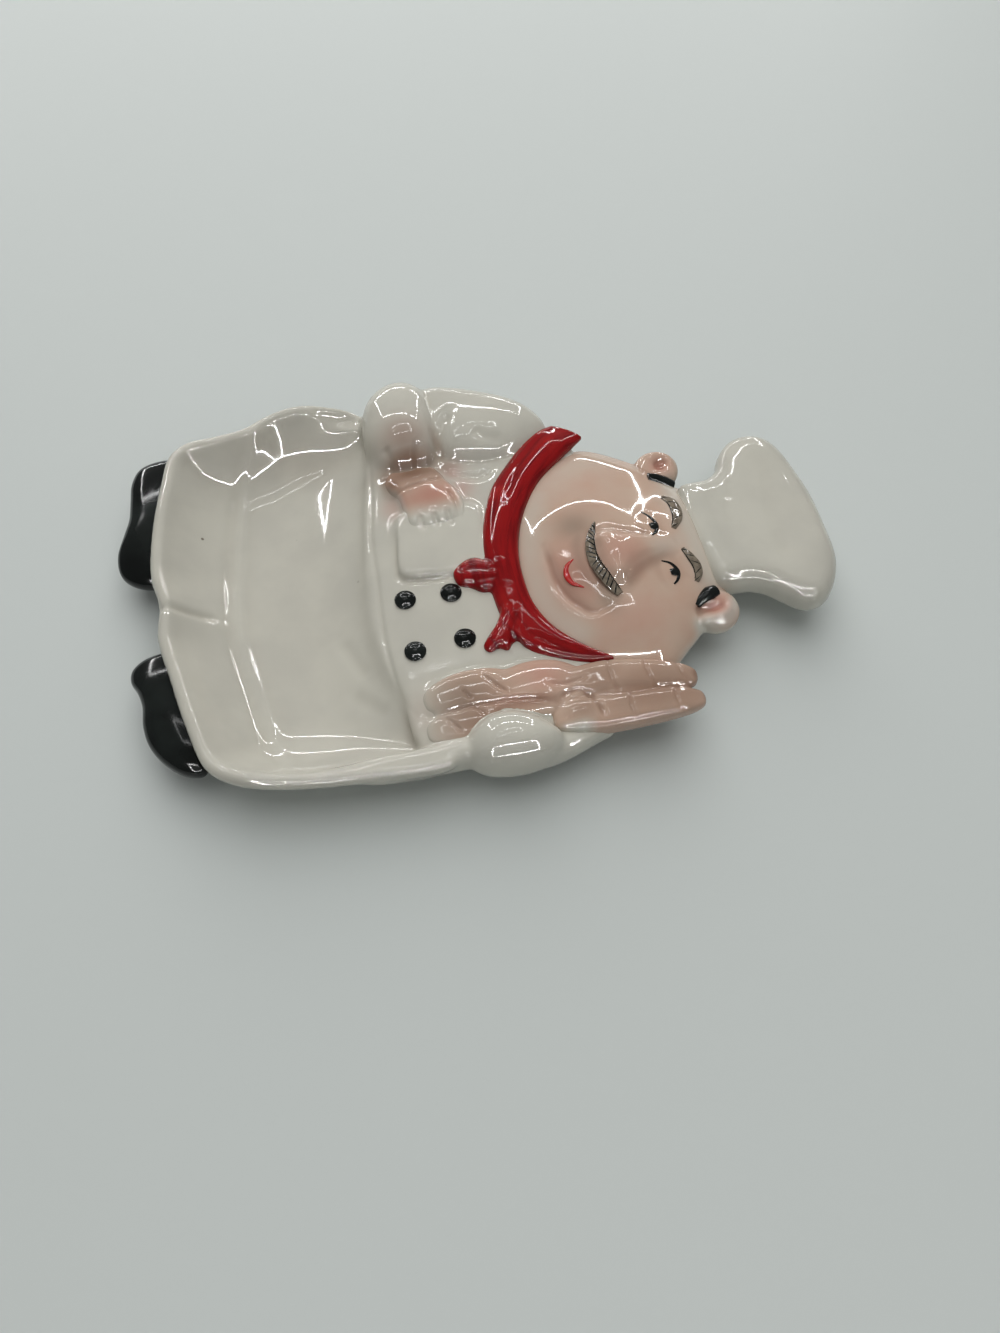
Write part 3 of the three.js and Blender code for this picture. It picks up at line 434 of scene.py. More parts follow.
# A clear gloss over colour: mottled, pitted with a few specks, slightly wavy
def glaze(name, look, colourOf):
    material = bpy.data.materials.new(name)
    material.use_nodes = True
    tree = material.node_tree
    tree.nodes.clear()
    shader = tree.nodes.new("ShaderNodeBsdfPrincipled")
    output = tree.nodes.new("ShaderNodeOutputMaterial")
    tree.links.new(shader.outputs[0], output.inputs[0])
    spot = Wire(tree, tree.nodes.new("ShaderNodeTexCoord").outputs["Object"])
    mottle = spot.noise(look["mottleScale"], 3.0)
    colour = colourOf(spot, mottle)
    if look["specks"]:
        cells = spot.make("ShaderNodeTexVoronoi", {"Vector": spot, "Scale": look["speckScale"]})
        chance = spot.make("ShaderNodeSeparateColor", {"Color": cells.sibling("Color")}, "Red")
        speck = 1 - cells.ramp(look["speckSize"], look["speckSize"] * 1.6)
        speck = speck * chance.ramp(1 - look["specks"], 1 - look["specks"] * 0.8)
        colour = (speck * 0.8).blend(colour, paint(*look["speckColour"]))
    wave = spot.noise(look["waveScale"], 1.0) + 0.12 * spot.noise(look["waveScale"] * 9, 2.0)
    bump = wave.make("ShaderNodeBump", {
        "Height": wave, "Strength": look["waveStrength"], "Distance": 0.001,
    })
    rough = look["roughness"] + 0.05 * mottle
    for socket, wire in (("Base Color", colour), ("Roughness", rough), ("Normal", bump)):
        tree.links.new(wire.socket, shader.inputs[socket])
    shader.inputs["Specular IOR Level"].default_value = look["shine"]
    shader.inputs["Coat Weight"].default_value = look["coat"]
    shader.inputs["Coat Roughness"].default_value = look["coatRoughness"]
    return material


gloss = {
    "mottleScale": 60.0, "waveScale": 55.0, "waveStrength": 0.03, "roughness": 0.03,
    "shine": 0.5, "coat": 0.1, "coatRoughness": 0.03, "speckScale": 230.0, "speckSize": 0.09,
    "speckColour": (88, 76, 60), "specks": 0.012,
}
deepGloss = {**gloss, "specks": 0, "coat": 0.0, "shine": 0.3}
plainGloss = {**gloss, "specks": 0}
unglazed = {**gloss, "roughness": 0.7, "coat": 0.0, "waveScale": 900.0}

white = paints(open=(198, 195, 183), thin=(190, 187, 176), pool=(164, 157, 141))
skin = paints(
    open=(193, 160, 140), pale=(196, 176, 158), blush=(182, 110, 98), shade=(128, 98, 80),
    grey=(116, 106, 94),
)
red = paints(open=(142, 20, 22), deep=(104, 12, 16), thin=(170, 38, 34))
black = paints(open=(16, 18, 17), thin=(30, 34, 32))
grey = paints(open=(130, 119, 104), deep=(102, 92, 80))
lip = paints(open=(190, 42, 34), deep=(160, 28, 26))
clay = paints(open=(196, 186, 166), deep=(176, 164, 142))


# A sprayed colour, thinner where the mottle is low
def sprayed(spot, mottle, name, thin, base):
    return (spot.layer(name) * mottle.ramp(0.2, 0.8, thin, 1.0)).blend(base, skin[name])


def whiteColour(spot, mottle):
    base = mottle.ramp(0.3, 0.7).blend(white["open"], white["thin"])
    # painted shade darkens the hollows and creases, where the glaze also pools
    base = (spot.layer("hollow") * 0.6).blend(base, white["pool"])
    base = sprayed(spot, mottle, "blush", 0.7, base)
    return spot.layer("shade").blend(base, skin["shade"])


def skinColour(spot, mottle):
    clouds = spot.noise(90.0, 3.0).ramp(0.3, 0.7)
    base = (0.25 + 0.4 * clouds).blend(skin["open"], skin["pale"])
    base = spot.layer("skin").blend(white["open"], base)
    # painted shade: hollows and creases darkened toward the brown, where the glaze also pools
    base = (spot.layer("hollow") * spot.layer("skin") * 0.6).blend(base, skin["shade"])
    base = sprayed(spot, mottle, "blush", 0.75, base)
    base = sprayed(spot, mottle, "shade", 0.8, base)
    return spot.layer("grey").blend(base, skin["grey"])


# Brushed along the neckerchief
def redColour(spot, mottle):
    brush = spot.make("ShaderNodeCombineXYZ", {
        "X": spot.layer("along") * 6.0, "Y": spot.layer("across") * 0.45,
    })
    base = brush.noise(1.0, 2.0).ramp(0.4, 0.75).blend(red["open"], red["deep"])
    base = mottle.ramp(0.55, 0.8).blend(base, red["thin"])
    # painted shade: hollows and creases go a deeper red, where the glaze also pools
    return (spot.layer("hollow") * 0.7).blend(base, red["deep"])


def greyColour(spot, mottle):
    return spot.noise(500.0, 2.0).ramp(0.4, 0.65).blend(*grey.values())


def twoTone(colours, low, high):
    return lambda spot, mottle: mottle.ramp(low, high).blend(*colours.values())


whiteGlaze = glaze("whiteGlaze", gloss, whiteColour)
skinGlaze = glaze("skinGlaze", gloss, skinColour)
redGlaze = glaze("redGlaze", deepGloss, redColour)
blackGlaze = glaze("blackGlaze", {**deepGloss, "roughness": 0.08}, twoTone(black, 0.35, 0.75))
greyGlaze = glaze("greyGlaze", plainGloss, greyColour)
lipGlaze = glaze("lipGlaze", plainGloss, twoTone(lip, 0.3, 0.7))
bisque = glaze("bisque", unglazed, twoTone(clay, 0.3, 0.7))
print("stage glazes")

# Body: the bowl, the chest and the sleeves are one white casting

dish = {
    "middle": (-65, 5), "length": 76, "width": 149, "rim": 22, "roll": 2.6, "floor": 6.5,
    "wall": 4.5, "sideSlope": 25, "footSlope": 30, "spine": 37, "waistSlope": 27, "waist": 16.5,
    "outline": [
        (1.14, -1), (1.06, -0.84), (0.92, -0.62), (0.81, -0.3), (0.855, -0.03), (0.97, 0.33),
        (1.08, 0.6), (1.15, 0.76), (1.14, 0.87), (1, 0.93), (0.76, 0.97), (0.45, 1),
        (0.18, 0.97), (-0.03, 0.92), (-0.32, 0.9), (-0.58, 0.89), (-0.74, 0.83), (-0.84, 0.67),
        (-0.95, 0.42), (-1, 0.16), (-0.955, 0.01), (-0.99, -0.16), (-0.93, -0.35), (-0.84, -0.6),
        (-0.72, -0.8), (-0.5, -0.89), (-0.13, -0.95), (0.39, -0.99),
    ],
}
coat = {
    "middle": (-6, 2), "height": 17.5, "rise": 1.5, "wall": 5, "lip": 8, "round": 3,
    "outline": [
        (-24, -65), (-2, -66), (22, -64), (38, -54), (46, -31), (47, -1), (50, 35), (38, 53),
        (14, 65), (-8, 66), (-19, 58), (-20, 48), (-24, 28), (-28, 1), (-29.5, -19), (-27.5, -42),
    ],
}
sleeve = {"edge": 16, "underside": 8}
foreSleeve = {
    **sleeve, "middle": (-13, 62), "length": 28, "width": 42, "top": 27.5,
    "outline": [
        (0.96, 0.1), (0.86, 0.62), (0.5, 0.93), (0.07, 1), (-0.43, 0.86), (-0.82, 0.52), (-1, 0),
        (-0.93, -0.52), (-0.57, -0.88), (0.07, -1), (0.64, -0.86), (0.89, -0.43),
    ],
}
upperSleeve = {
    **sleeve, "middle": (15, 58), "length": 45, "width": 40, "top": 26,
    "outline": [
        (0.98, -0.4), (0.87, 0), (0.58, 0.35), (0.13, 0.65), (-0.4, 0.92), (-0.8, 1), (-1.02, 0.6),
        (-1.02, -0.15), (-0.8, -0.65), (-0.4, -0.88), (0.09, -0.95), (0.53, -0.85), (0.84, -0.68),
    ],
}
leftSleeve = {
    **sleeve, "middle": (-4.5, -66), "top": 26.5,
    "outline": [
        (15, -2), (13.2, 1.6), (9, 5.8), (3.3, 9), (-3.5, 10), (-9, 8.1), (-13, 4.4), (-14.6, 0),
        (-13.8, -4), (-10.4, -6.8), (-4.7, -8.6), (1.5, -9.2), (8.5, -8.4), (13.4, -5.6),
    ],
}
wrist = {
    "middle": (12, -69), "top": 19, "edge": 14.5, "underside": 9,
    "outline": [
        (-10, 3), (-3, 4), (5, 3.4), (11, 2), (14.6, 0.8), (10, -0.6), (3, -2.8), (-4, -4.6), (-10, -5),
    ],
}
napkin = {
    "middle": (-9, 10), "top": 20.2, "edge": 19, "underside": 15,
    "outline": [
        (13, -12), (13.5, 0), (13.5, 12), (0, 14), (-12.5, 13), (-14.6, 9.6), (-15.4, 2), (-16.3, -6),
        (-16.2, -9.6), (-14.6, -11.4), (-6, -13.2), (3, -14),
    ],
}

dishOutline = planOutline(dish)
dishX, dishY = dish["middle"]
atWaist = (dishOutline[:, 0] > dishX + dish["length"] * 0.34) & (
    np.abs(dishOutline[:, 1] - dishY) < dish["width"] * 0.47
)
firstRim = next(i for i in range(len(atWaist)) if not atWaist[i] and atWaist[i - 1])
turned, turnedWaist = np.roll(dishOutline, -firstRim, 0), np.roll(atWaist, -firstRim)
rimRun = turned[~turnedWaist]
waistRun = np.vstack([rimRun[-1:], turned[turnedWaist], rimRun[:1]])


def rimHeight(spots):
    across = np.abs(spots[:, 1] - dishY) / (dish["width"] / 2)
    waist = ease(spots[:, 0], dishX + dish["length"] * 0.2, dishX + dish["length"] * 0.36)
    return dish["rim"] + (dish["waist"] - dish["rim"]) * waist * (1 - ease(across, 0.88, 0.99))


def bowlHeight(spots):
    foot = ease(dishX - spots[:, 0], dish["length"] * 0.1, dish["length"] * 0.34)
    slope = dish["sideSlope"] + (dish["footSlope"] - dish["sideSlope"]) * foot
    fromRim = np.maximum(nearest(rimRun, spots)[0] - dish["roll"] * 1.7, 0)
    side = np.maximum(1 - fromRim / slope, 0) ** 2.6
    waist = np.maximum(1 - nearest(waistRun, spots)[0] / dish["waistSlope"], 0) ** 2.0
    shoulder = dish["rim"] - 0.35 * dish["roll"] - dish["floor"]
    chest = dish["waist"] - dish["floor"]
    return dish["floor"] + ((shoulder * side) ** 4 + (chest * waist) ** 4) ** 0.25


def bowlUnderside(spots, walls):
    return np.maximum(dish["floor"] - dish["wall"], bowlHeight(spots) - walls * dish["wall"])


def dishForm():
    roll = dish["roll"]
    levels = []
    for share in (0.97, 0.8, 0.65, 0.52, 0.43, 0.34, 0.25, 0.17, 0.09):
        walls = 1.5 - min(share / 0.52, 1) * 0.5
        levels.append((0, share, lambda spots, walls=walls: bowlUnderside(spots, walls)))
    levels.append((roll * 0.8, 0, lambda spots: bowlUnderside(spots, 1.5)))
    for angle in (-50, -25, 0, 20, 40, 60, 80, 95, 110, 125):
        out, up = cosSin(angle)
        levels.append((roll * (1 - out), 0, lambda spots, up=up: rimHeight(spots) + roll * (up - 1)))
    for share in (0, 0.02, 0.05, 0.08, 0.11, 0.15, 0.19, 0.24, 0.3, 0.36, 0.43, 0.5, 0.6, 0.8, 0.97):
        levels.append((roll * 1.7, share, lambda spots: np.minimum(bowlHeight(spots), rimHeight(spots))))
    return loftForm(dishOutline, dish["middle"], levels, dish["spine"])


def coatHeight(spots):
    return coat["height"] + coat["rise"] * ease(spots[:, 0], -37, 8)


def coatForm():
    wall, brim, corner = coat["wall"], coat["lip"], coat["round"]
    shares = (0.1, 0.3, 0.5, 0.7, 0.9)
    levels = [(wall * 2.4, s, lambda spots: coatHeight(spots) - wall) for s in shares[::-1]]
    levels += [
        (wall * 2.2, 0, lambda spots: coatHeight(spots) - wall * 1.2), (wall * 1.5, 0, brim),
        (wall * 0.7, 0, brim), (0, 0, brim + wall * 0.8),
    ]
    for angle in (0, 20, 40, 60, 80):
        out, up = cosSin(angle)
        levels.append((corner * (1 - out), 0, lambda spots, up=up: coatHeight(spots) + corner * (up - 1)))
    levels += [(wall, s, coatHeight) for s in shares]
    return loftForm(planOutline(coat), coat["middle"], levels)


hem = [
    (-63, 70), (-65.3, 66), (-71, 53.8), (-75.5, 31), (-78.4, 6.2), (-78.5, -9.5), (-76.6, -22),
    (-74, -39.9), (-70, -56), (-68, -65),
]
bodyRelief = {
    "strokes": [
        # hem of the apron and the fall to the trousers
        (hem, 0.6, 1.8), ([(x - 4, y) for x, y in hem], -0.5, 2.4),
        ([(-104, 4.6), (-96, 3.9), (-84, 3.2)], -0.9, 1.5),
        # folds of the apron below the waist
        ([(-48.3, -13.3), (-44.4, -24.9), (-41.8, -30.5)], -0.45, 2.4),
        ([(-48.2, -33), (-44.4, -38), (-38.2, -45)], -0.45, 2.4),
        # edge of the coat at the waist, and of the napkin
        ([(-26, 54), (-28.7, 35.3), (-31.7, 18.9), (-32.9, 0.9), (-34.4, -16.1), (-34.7, -30.6),
          (-33.4, -43), (-30.4, -51)], -0.5, 0.9),
        ([(-22.8, 21), (-24.6, 12), (-26, 4), (-25.8, -1), (-22, -3.2), (-14, -4.4), (-5, -5)], -0.5, 0.8),
        # elbow, cuff and gathers
        ([(-23, 47), (-20, 44.4), (-15.5, 42.4), (-10, 42.6), (-4, 44.4)], 0.6, 1.6),
        ([(4.4, 60), (0.6, 54.2), (-2.3, 47.6), (-4.2, 41.7)], -0.9, 2.2),
        ([(-20.9, 50), (-20.4, 47), (-19.5, 42)], -0.9, 1.6),
        ([(-8.6, 49), (-10, 45), (-11.2, 40)], -0.9, 1.6),
        ([(-1.8, 38.9), (2.8, 35.5), (8.8, 33.7), (14, 36)], -0.7, 1.6),
        ([(10, 50), (14, 46), (20, 44)], -0.6, 2.2),
    ],
    "mounds": [((-13, 58), (8, 8), 0, 0.5), ((-20, -20), (14, 26), 0, 0.35)],
}
bodyPaint = {
    "blush": [
        ((-14, 52), (8, 7), 0, 0.22), ((0, 38), (4.5, 4), 0, 0.4), ((-23, 28), (4, 5), 0, 0.35),
        ((-27, -50), (5, 8), 0, 0.12), ((2, 30), (4, 5), 0, 0.4),
    ],
    "shade": [
        ((-14, 43.5), (11, 5), 4, 0.95), ((-14, 50), (9, 8), 0, 0.5), ((-2.6, 48), (2.2, 8), 10, 0.5),
        ((-30, -52), (5, 7), 0, 0.12), ((-2, 41), (5, 3.5), 0, 0.5), ((-22, 39), (3.4, 7), 0, 0.85),
        # painted shade: the far wall of the bowl darkened, as if turned away from the light
        ((-48, 62), (22, 9), -8, 0.14),  # far wall of the bowl
    ],
}

# Hands, which the white casting rises to meet

fist = {
    "middle": (-11, 29), "top": 22.2, "edge": 17.8, "underside": 14, "wristDrop": 1.5,
    "outline": [
        (12.2, -5), (11.4, 0), (9, 5), (7.2, 10.4), (4.6, 15.2), (-2, 16.6), (-9.4, 15.6), (-12.4, 10.5),
        (-11.8, 5), (-9.2, 0.4), (-8.6, -7), (-7.6, -12), (-4, -13.4), (2, -13.5), (8, -13.4), (11.4, -12),
    ],
    "strokes": [
        ([(-23.2, 30.5), (-19.7, 31.5), (-13.2, 33), (-5.1, 34.5), (-2, 35.6)], -0.45, 0.8),  # cuff
        *[([(x, 20.4), (x, 18), (x + 0.2, 15)], -0.55, 0.8) for x in (-14.6, -9.8, -5.2)],
        ([(-3.4, 30), (-2, 25), (-1.6, 17)], -0.5, 0.9),
    ],
    "mounds": [
        *[(spot, (2, 2.6), 0, 0.5) for spot in ((-17, 18.6), (-12.2, 18), (-7.5, 18))],  # knuckles
        ((0, 22), (1.6, 5), 0, 0.5),
    ],
    "blush": [((-10, 27.5), (9, 4.6), 0, 0.6), ((-19, 28), (4, 4), 0, 0.4), ((-1, 31), (4, 4), 0, 0.4)],
    "shade": [((-10, 27), (10, 6), 0, 0.14), ((-13.5, 39), (14, 5.8), 6, 1.0), ((-21, 36), (4, 5), 0, 1.0)],
}
palm = {"middle": (6, -50.7), "length": 32, "width": 20, "top": 21.7, "edge": 17.6, "underside": 13}
hand = {
    "fingers": [  # route, half width, half depth, taper, fullness of the ends
        ([(9.9, -52.7), (28, -52.2), (45.2, -55.7), (55, -58.6)], 6.3, 4.5, 0.2, 3),
        ([(8, -61.7), (25.6, -63.7), (42.8, -64.7), (55, -65.7)], 6.3, 4.5, 0.25, 3),
        ([(4.1, -48.7), (-11.6, -46.2), (-28, -47.7)], 6.75, 3.2, 0, 2.4),
        ([(-3.9, -57.4), (-18, -57.6), (-29, -57.6)], 6.1, 3.0, 0, 2.4),
    ],
    "strokes": [
        *[(joint, -0.35, 0.55) for joint in (
            [(30, -46), (28.6, -50), (28.4, -54), (29.4, -58)],
            [(41, -48), (39.6, -52), (39.8, -56), (41, -60)], [(49.5, -52), (49.6, -56), (51.4, -61)],
            [(32.6, -60), (31.4, -64), (32, -69)], [(46.4, -61), (45.4, -65), (46, -70)],
        )],
        ([(-9, -42), (-6, -46.5), (-2.4, -51.5)], -0.45, 0.6),
        ([(-15.6, -46.5), (-13.6, -50.5)], -0.4, 0.6),
        ([(-23.5, -53), (-21, -56.5), (-18.6, -60.5)], -0.4, 0.6),
        ([(-14, -52.4), (-10.6, -56)], -0.4, 0.6),
        ([(10.8, -57.5), (14, -55.4), (19, -55.9), (22, -61), (22.6, -67)], -0.6, 1.0),  # ball of the thumb
        ([(9.5, -50.6), (12.9, -52.2), (17.4, -52.3), (21.5, -51.6)], -0.3, 0.8),
        ([(-26, -52.6), (-12, -52.4), (-3, -53.4), (4.2, -55), (9.8, -57.4)], -0.5, 0.8),
    ],
    "fillers": [
        ([(-26, -52.6), (-12, -52.6), (4, -54)], 3.2, 2.7, 0, 2.2),
        ([(16, -57.8), (31, -58.2), (47, -60.6)], 3.2, 3.5, 0.1, 2.2),
    ],
    "mounds": [((17, -61), (5, 4), -30, 0.8)],
    "flat": ((0, -49), (20, 9), 0),  # where the palm runs into the lobes
    "blush": [((9, -48), (9, 6), 0, 0.42), ((0, -54.5), (10, 2.2), -8, 0.4)],
    "shade": [
        ((42, -60), (24, 11), 0, 0.74), ((55, -58), (4, 4), 0, 0.95), ((57, -66), (4, 5), 0, 1.0),
        ((25, -52), (10, 8), 0, 0.66), ((-14, -49), (12, 7), 0, 0.66), ((18, -61), (6, 5), 0, 0.6),
        ((-13, -58), (13, 6), 0, 0.8), ((2, -55), (12, 2), -8, 0.8),
    ],
    "grey": [((-22, -51), (12, 10), 0, 0.45)],
}


def fingerForm(route, halfWidth, halfDepth, taper, ends, under=0.0):
    return rollForm(
        route, lambda s: halfWidth * (1 - taper * s) * roundEnds(s, ends),
        lambda s: halfDepth * (1 - taper * s) * roundEnds(s, ends), lambda s: palm["edge"] - under,
        flatness=0.62,
    )


def fistForm(under=0.0):
    points, faces = cushion(fist, power=2.4, drop=under)
    points[:, 2] -= fist["wristDrop"] * ease(points[:, 1], 33, 43)
    return points, faces


def palmForm(under=0.0):
    return cushion(palm, power=2.6, count=100, drop=under)


underPaint = 0.45
nearRim = [(-58, -63.6), (-50, -64.7), (-38, -65.3), (-28, -65.5), (-17, -65.6)]  # on into the sleeve
body = castForms("whiteBody", [
    dishForm(), coatForm(),
    *[cushion(form, power=2.3) for form in (foreSleeve, upperSleeve, leftSleeve)],
    cushion(napkin, power=9), cushion(wrist, power=2.2), fistForm(underPaint), palmForm(underPaint),
    *[fingerForm(*finger, underPaint) for finger in hand["fingers"][2:]],
    rollForm(
        nearRim, lambda s: 1.6 + 2.2 * ease(s, 0, 0.35), lambda s: 3 + 2.6 * ease(s, 0, 0.35),
        lambda s: 18.4 - 2.4 * ease(s, 0, 0.35), flatness=0.75, steps=30,
    ),
], voxel=0.68, rounds=9)
bodyPoints = getPoints(body)
bodyX, bodyY, bodyZ = bodyPoints.T
fromWaist, fromRim = (nearest(run, bodyPoints[:, :2])[0] for run in (waistRun, np.array(nearRim)))
inBowl = ease(dish["rim"] - 3.0 - bodyZ, 0, 2.5) * ease(-33 - bodyX, 0, 5)
byWaist = np.exp(-((fromWaist / 5) ** 2)) * (1 - ease(np.abs(bodyY - dishY), 48, 58))
byRim = np.exp(-((fromRim / 6) ** 2)) * ease(bodyZ, 12, 15) * ease(-19 - bodyX, 0, 8)
soften(body, rounds=60, weight=np.maximum.reduce([inBowl, byWaist, 0.3 * byRim]))
modelRelief(body, **bodyRelief)
modelRelief(body, fist["strokes"] + hand["strokes"])
hollowLayer(body, depth=0.06)
bodyPoints = getPoints(body)
for layerName, sprays in bodyPaint.items():
    setLayers(body, **{layerName: sprayLayer(bodyPoints, sprays) * upperSide(body)})
thinUnderside(body, share=0.72)
place(
    body, whiteGlaze, "white_glaze", "apron_dish", "coat_front", "right_upper_sleeve",
    "right_fore_sleeve", "left_sleeve", "napkin",
)

# Foot ring, drawn up to the underside

footRing = {"length": 104, "width": 92, "thickness": 5, "round": 0.8, "bury": 1.5}


def footForm():
    count, thick, corner = 240, footRing["thickness"], footRing["round"]
    half = np.array([footRing["length"], footRing["width"]]) / 2
    rows = []
    for inset, up in ((thick, 1), (thick, 0.5), (thick, corner), (thick - corner, 0), (corner, 0),
                      (0, corner), (0, 0.5), (0, 1)):
        spots = circle(count) * (half - inset) + ringMiddle
        inBowl = spots[:, 0] < np.interp(spots[:, 1], waistRun[:, 1], waistRun[:, 0])
        roof = np.where(inBowl, bowlUnderside(spots, 1.0), coat["height"] - coat["wall"])
        heights = np.full(count, float(up)) if up in (0, corner) else (roof + footRing["bury"]) * up
        rows.append(np.column_stack([spots, heights]))
    faces = []
    for k in range(len(rows)):
        a, b = k * count, (k + 1) % len(rows) * count
        faces += [(a + i, a + (i + 1) % count, b + (i + 1) % count, b + i) for i in range(count)]
    return np.vstack(rows), faces


place(meshObject("footRing", *footForm()), bisque, "bisque", "foot_ring")

# Head with its ears and nose

head = {
    "middle": (47, -7.25), "length": 78, "width": 93.5, "top": 26.5, "edge": 14, "lip": 9, "wall": 5,
    "outline": [
        (1, 0), (0.9, 0.31), (0.67, 0.49), (0.5, 0.68), (0.33, 0.82), (-0.03, 1), (-0.28, 0.97),
        (-0.59, 0.81), (-0.85, 0.53), (-0.97, 0.18), (-1, -0.15), (-0.92, -0.48), (-0.72, -0.76),
        (-0.41, -0.93), (-0.13, -1), (0.05, -0.98), (0.23, -0.86), (0.54, -0.65), (0.72, -0.5),
        (0.9, -0.3),
    ],
}
ear = {"length": 15.5, "width": 15, "top": 20.5, "edge": 15.8, "underside": 10}
earPlaces = [(69, 23.6), (69, -35.9)]
underHat = {"start": 71.5, "height": 18}  # the hat covers the forehead from here on


def headForm():
    def dome(share, drop=0.0):
        height = head["edge"] + bulge(share, 1.9) * (head["top"] - head["edge"]) - drop

        def under(spots):
            hidden = ease(spots[:, 0], underHat["start"] - 1, underHat["start"] + 2.5)
            return height - hidden * max(0, height - underHat["height"] + drop)
        return (0, share, under)

    wall = head["wall"]
    levels = [dome(share, wall) for share in (0.97, 0.85, 0.7, 0.55, 0.4, 0.3, 0.24)]
    levels += [(wall * 1.15, 0, head["lip"]), (wall * 0.5, 0, head["lip"]), (wall * 0.1, 0, 11.5)]
    levels += [dome(share) for share in edgeShares(40)]
    return loftForm(planOutline(head), head["middle"], levels)


headRelief = {
    "strokes": [
        ([(21.2, -2.9), (21.4, -10), (21.4, -15.8), (22.9, -22), (25.7, -27.2), (29.4, -30.8),
          (33.7, -30.7)], -0.7, 1.6),
        ([(66, 26.5), (70, 27.8), (73.5, 25.5), (73.8, 21.5)], 0.5, 1.2),  # rims of the ears
        ([(61, -39.5), (66, -40.3), (71, -39), (73.8, -35.5)], 0.7, 1.3),
        ([(70, 22.1), (68.6, 23.8), (70.5, 25), (72.6, 23)], -0.6, 0.8),
        ([(64.2, 6.1), (66.3, 3.2), (65.8, -3.9), (63.3, -8)], 0.5, 3.0),
        ([(63.8, -16.2), (64.9, -20), (65.9, -24.7), (64.5, -27.3)], 0.5, 3.0),
    ],
    "mounds": [
        ((39.4, -8.2), (2.8, 2.4), 0, 1.2), ((40.6, -21.4), (2.8, 2.4), 0, 1.2),  # wings of the nose
        ((27.5, -17), (5.0, 9.0), 10, 1.3),  # mouth and chin
        ((35, 12), (12, 12), 0, 0.9), ((41, -36), (11, 9), 0, 0.7),  # cheeks
        ((56.3, -5), (4.6, 7), 0, -0.8), ((57.2, -23), (4.6, 7), 0, -0.8),  # eye hollows
        ((55.6, -5.2), (2.4, 4), 0, 0.7), ((56.6, -23.3), (2.4, 4), 0, 0.7),  # eyes
        ((69.6, 22.6), (3.0, 2.6), 0, -1.8), ((67.0, -36.4), (4.4, 2.0), 0, -2.0),  # inside of the ears
    ],
}
nose = {  # along the face: place, middle line, half width, height
    "x": [34.5, 36.2, 38, 41, 44, 48, 52, 57, 62],
    "y": [-14.6, -14.6, -14.6, -14.5, -14.3, -13.9, -13.5, -13.1, -12.8],
    "half": [6.0, 7.6, 8.8, 9.2, 8.0, 6.0, 4.6, 3.7, 3.2],
    "rise": [0, 2.0, 3.6, 4.3, 4.2, 3.4, 2.3, 1.2, 0],
    "middle": (44, -14.5), "reach": 14,  # the part that is softened
}


def modelNose(piece):
    points, normals = getPoints(piece), getNormals(piece)
    x = np.clip(points[:, 0], nose["x"][0], nose["x"][-1])
    middle, half, rise = (np.interp(x, nose["x"], nose[key]) for key in ("y", "half", "rise"))
    across = np.abs(points[:, 1] - middle) / half
    lift = rise * np.exp(-((across * 1.05) ** 3.2)) * ease(normals[:, 2], 0.1, 0.5)
    points[:, 2] += lift
    setPoints(piece, points)
    near = ease(nose["reach"] - np.linalg.norm(points[:, :2] - nose["middle"], axis=1), 0, 4)
    soften(piece, rounds=8, weight=near * ease(points[:, 2], 18, 20))


headPaint = {
    "blush": [
        ((42.5, -15.5), (8, 7), 0, 0.4), ((27, -17), (8, 12), 10, 0.5), ((57, -14), (7, 5), 0, 0.06),
        ((69.6, 22.8), (4, 4), 0, 0.5), ((69.3, -36.2), (5, 5), 0, 0.6), ((38, 14), (14, 14), 0, 0.12),
        ((42, -36), (12, 8), 0, 0.25),
    ],
    "grey": [((32.4, 0.5), (6.2, 5), -20, 0.5), ((35, -28.5), (3.4, 5), 20, 0.48)],
    "greyBands": [([(34, 0), (31, -7), (30.4, -13), (31.4, -20), (34, -26)], 2.4, 0.34)],
    "bare": [
        ([(70, 13), (69, 2), (69, -8), (69, -18), (70, -27)], 5.0, 0.66),
        ([(68, -10), (63, -13), (57, -14)], 4.0, 0.42),
        ([(62, -41), (64.4, -41), (67.8, -41.6), (71.6, -40), (75, -36)], 2.4, 1.0),
        ([(25, 18), (18.6, 6), (16, -5), (15.6, -17), (18, -28), (24, -36.6)], 4.6, 0.45),  # by the kerchief
        ([(29, 23), (38, 28), (48, 28)], 9.0, 0.3),
    ],
    "shade": [((56, -5), (3, 5), 0, 0.1), ((28, -17), (6, 10), 10, 0.28)],
}

headPiece = castForms("headCast", [
    headForm(), *[cushion({**ear, "middle": spot}, power=2.4, count=80) for spot in earPlaces],
], voxel=0.45, rounds=9)
modelNose(headPiece)
modelRelief(headPiece, **headRelief)
soften(headPiece, rounds=3)
hollowLayer(headPiece, depth=0.012)
headPoints = getPoints(headPiece)
bare = sprayLayer(headPoints, (), headPaint["bare"])
setLayers(
    headPiece, skin=ease(headPoints[:, 2], 11.5, 17.5) * (1 - bare) * upperSide(headPiece),
    blush=sprayLayer(headPoints, headPaint["blush"]),
    grey=sprayLayer(headPoints, headPaint["grey"], headPaint["greyBands"]),
    shade=sprayLayer(headPoints, headPaint["shade"]),
)
place(headPiece, skinGlaze, "skin_glaze", "head", "nose", "right_ear", "left_ear")

# Hat

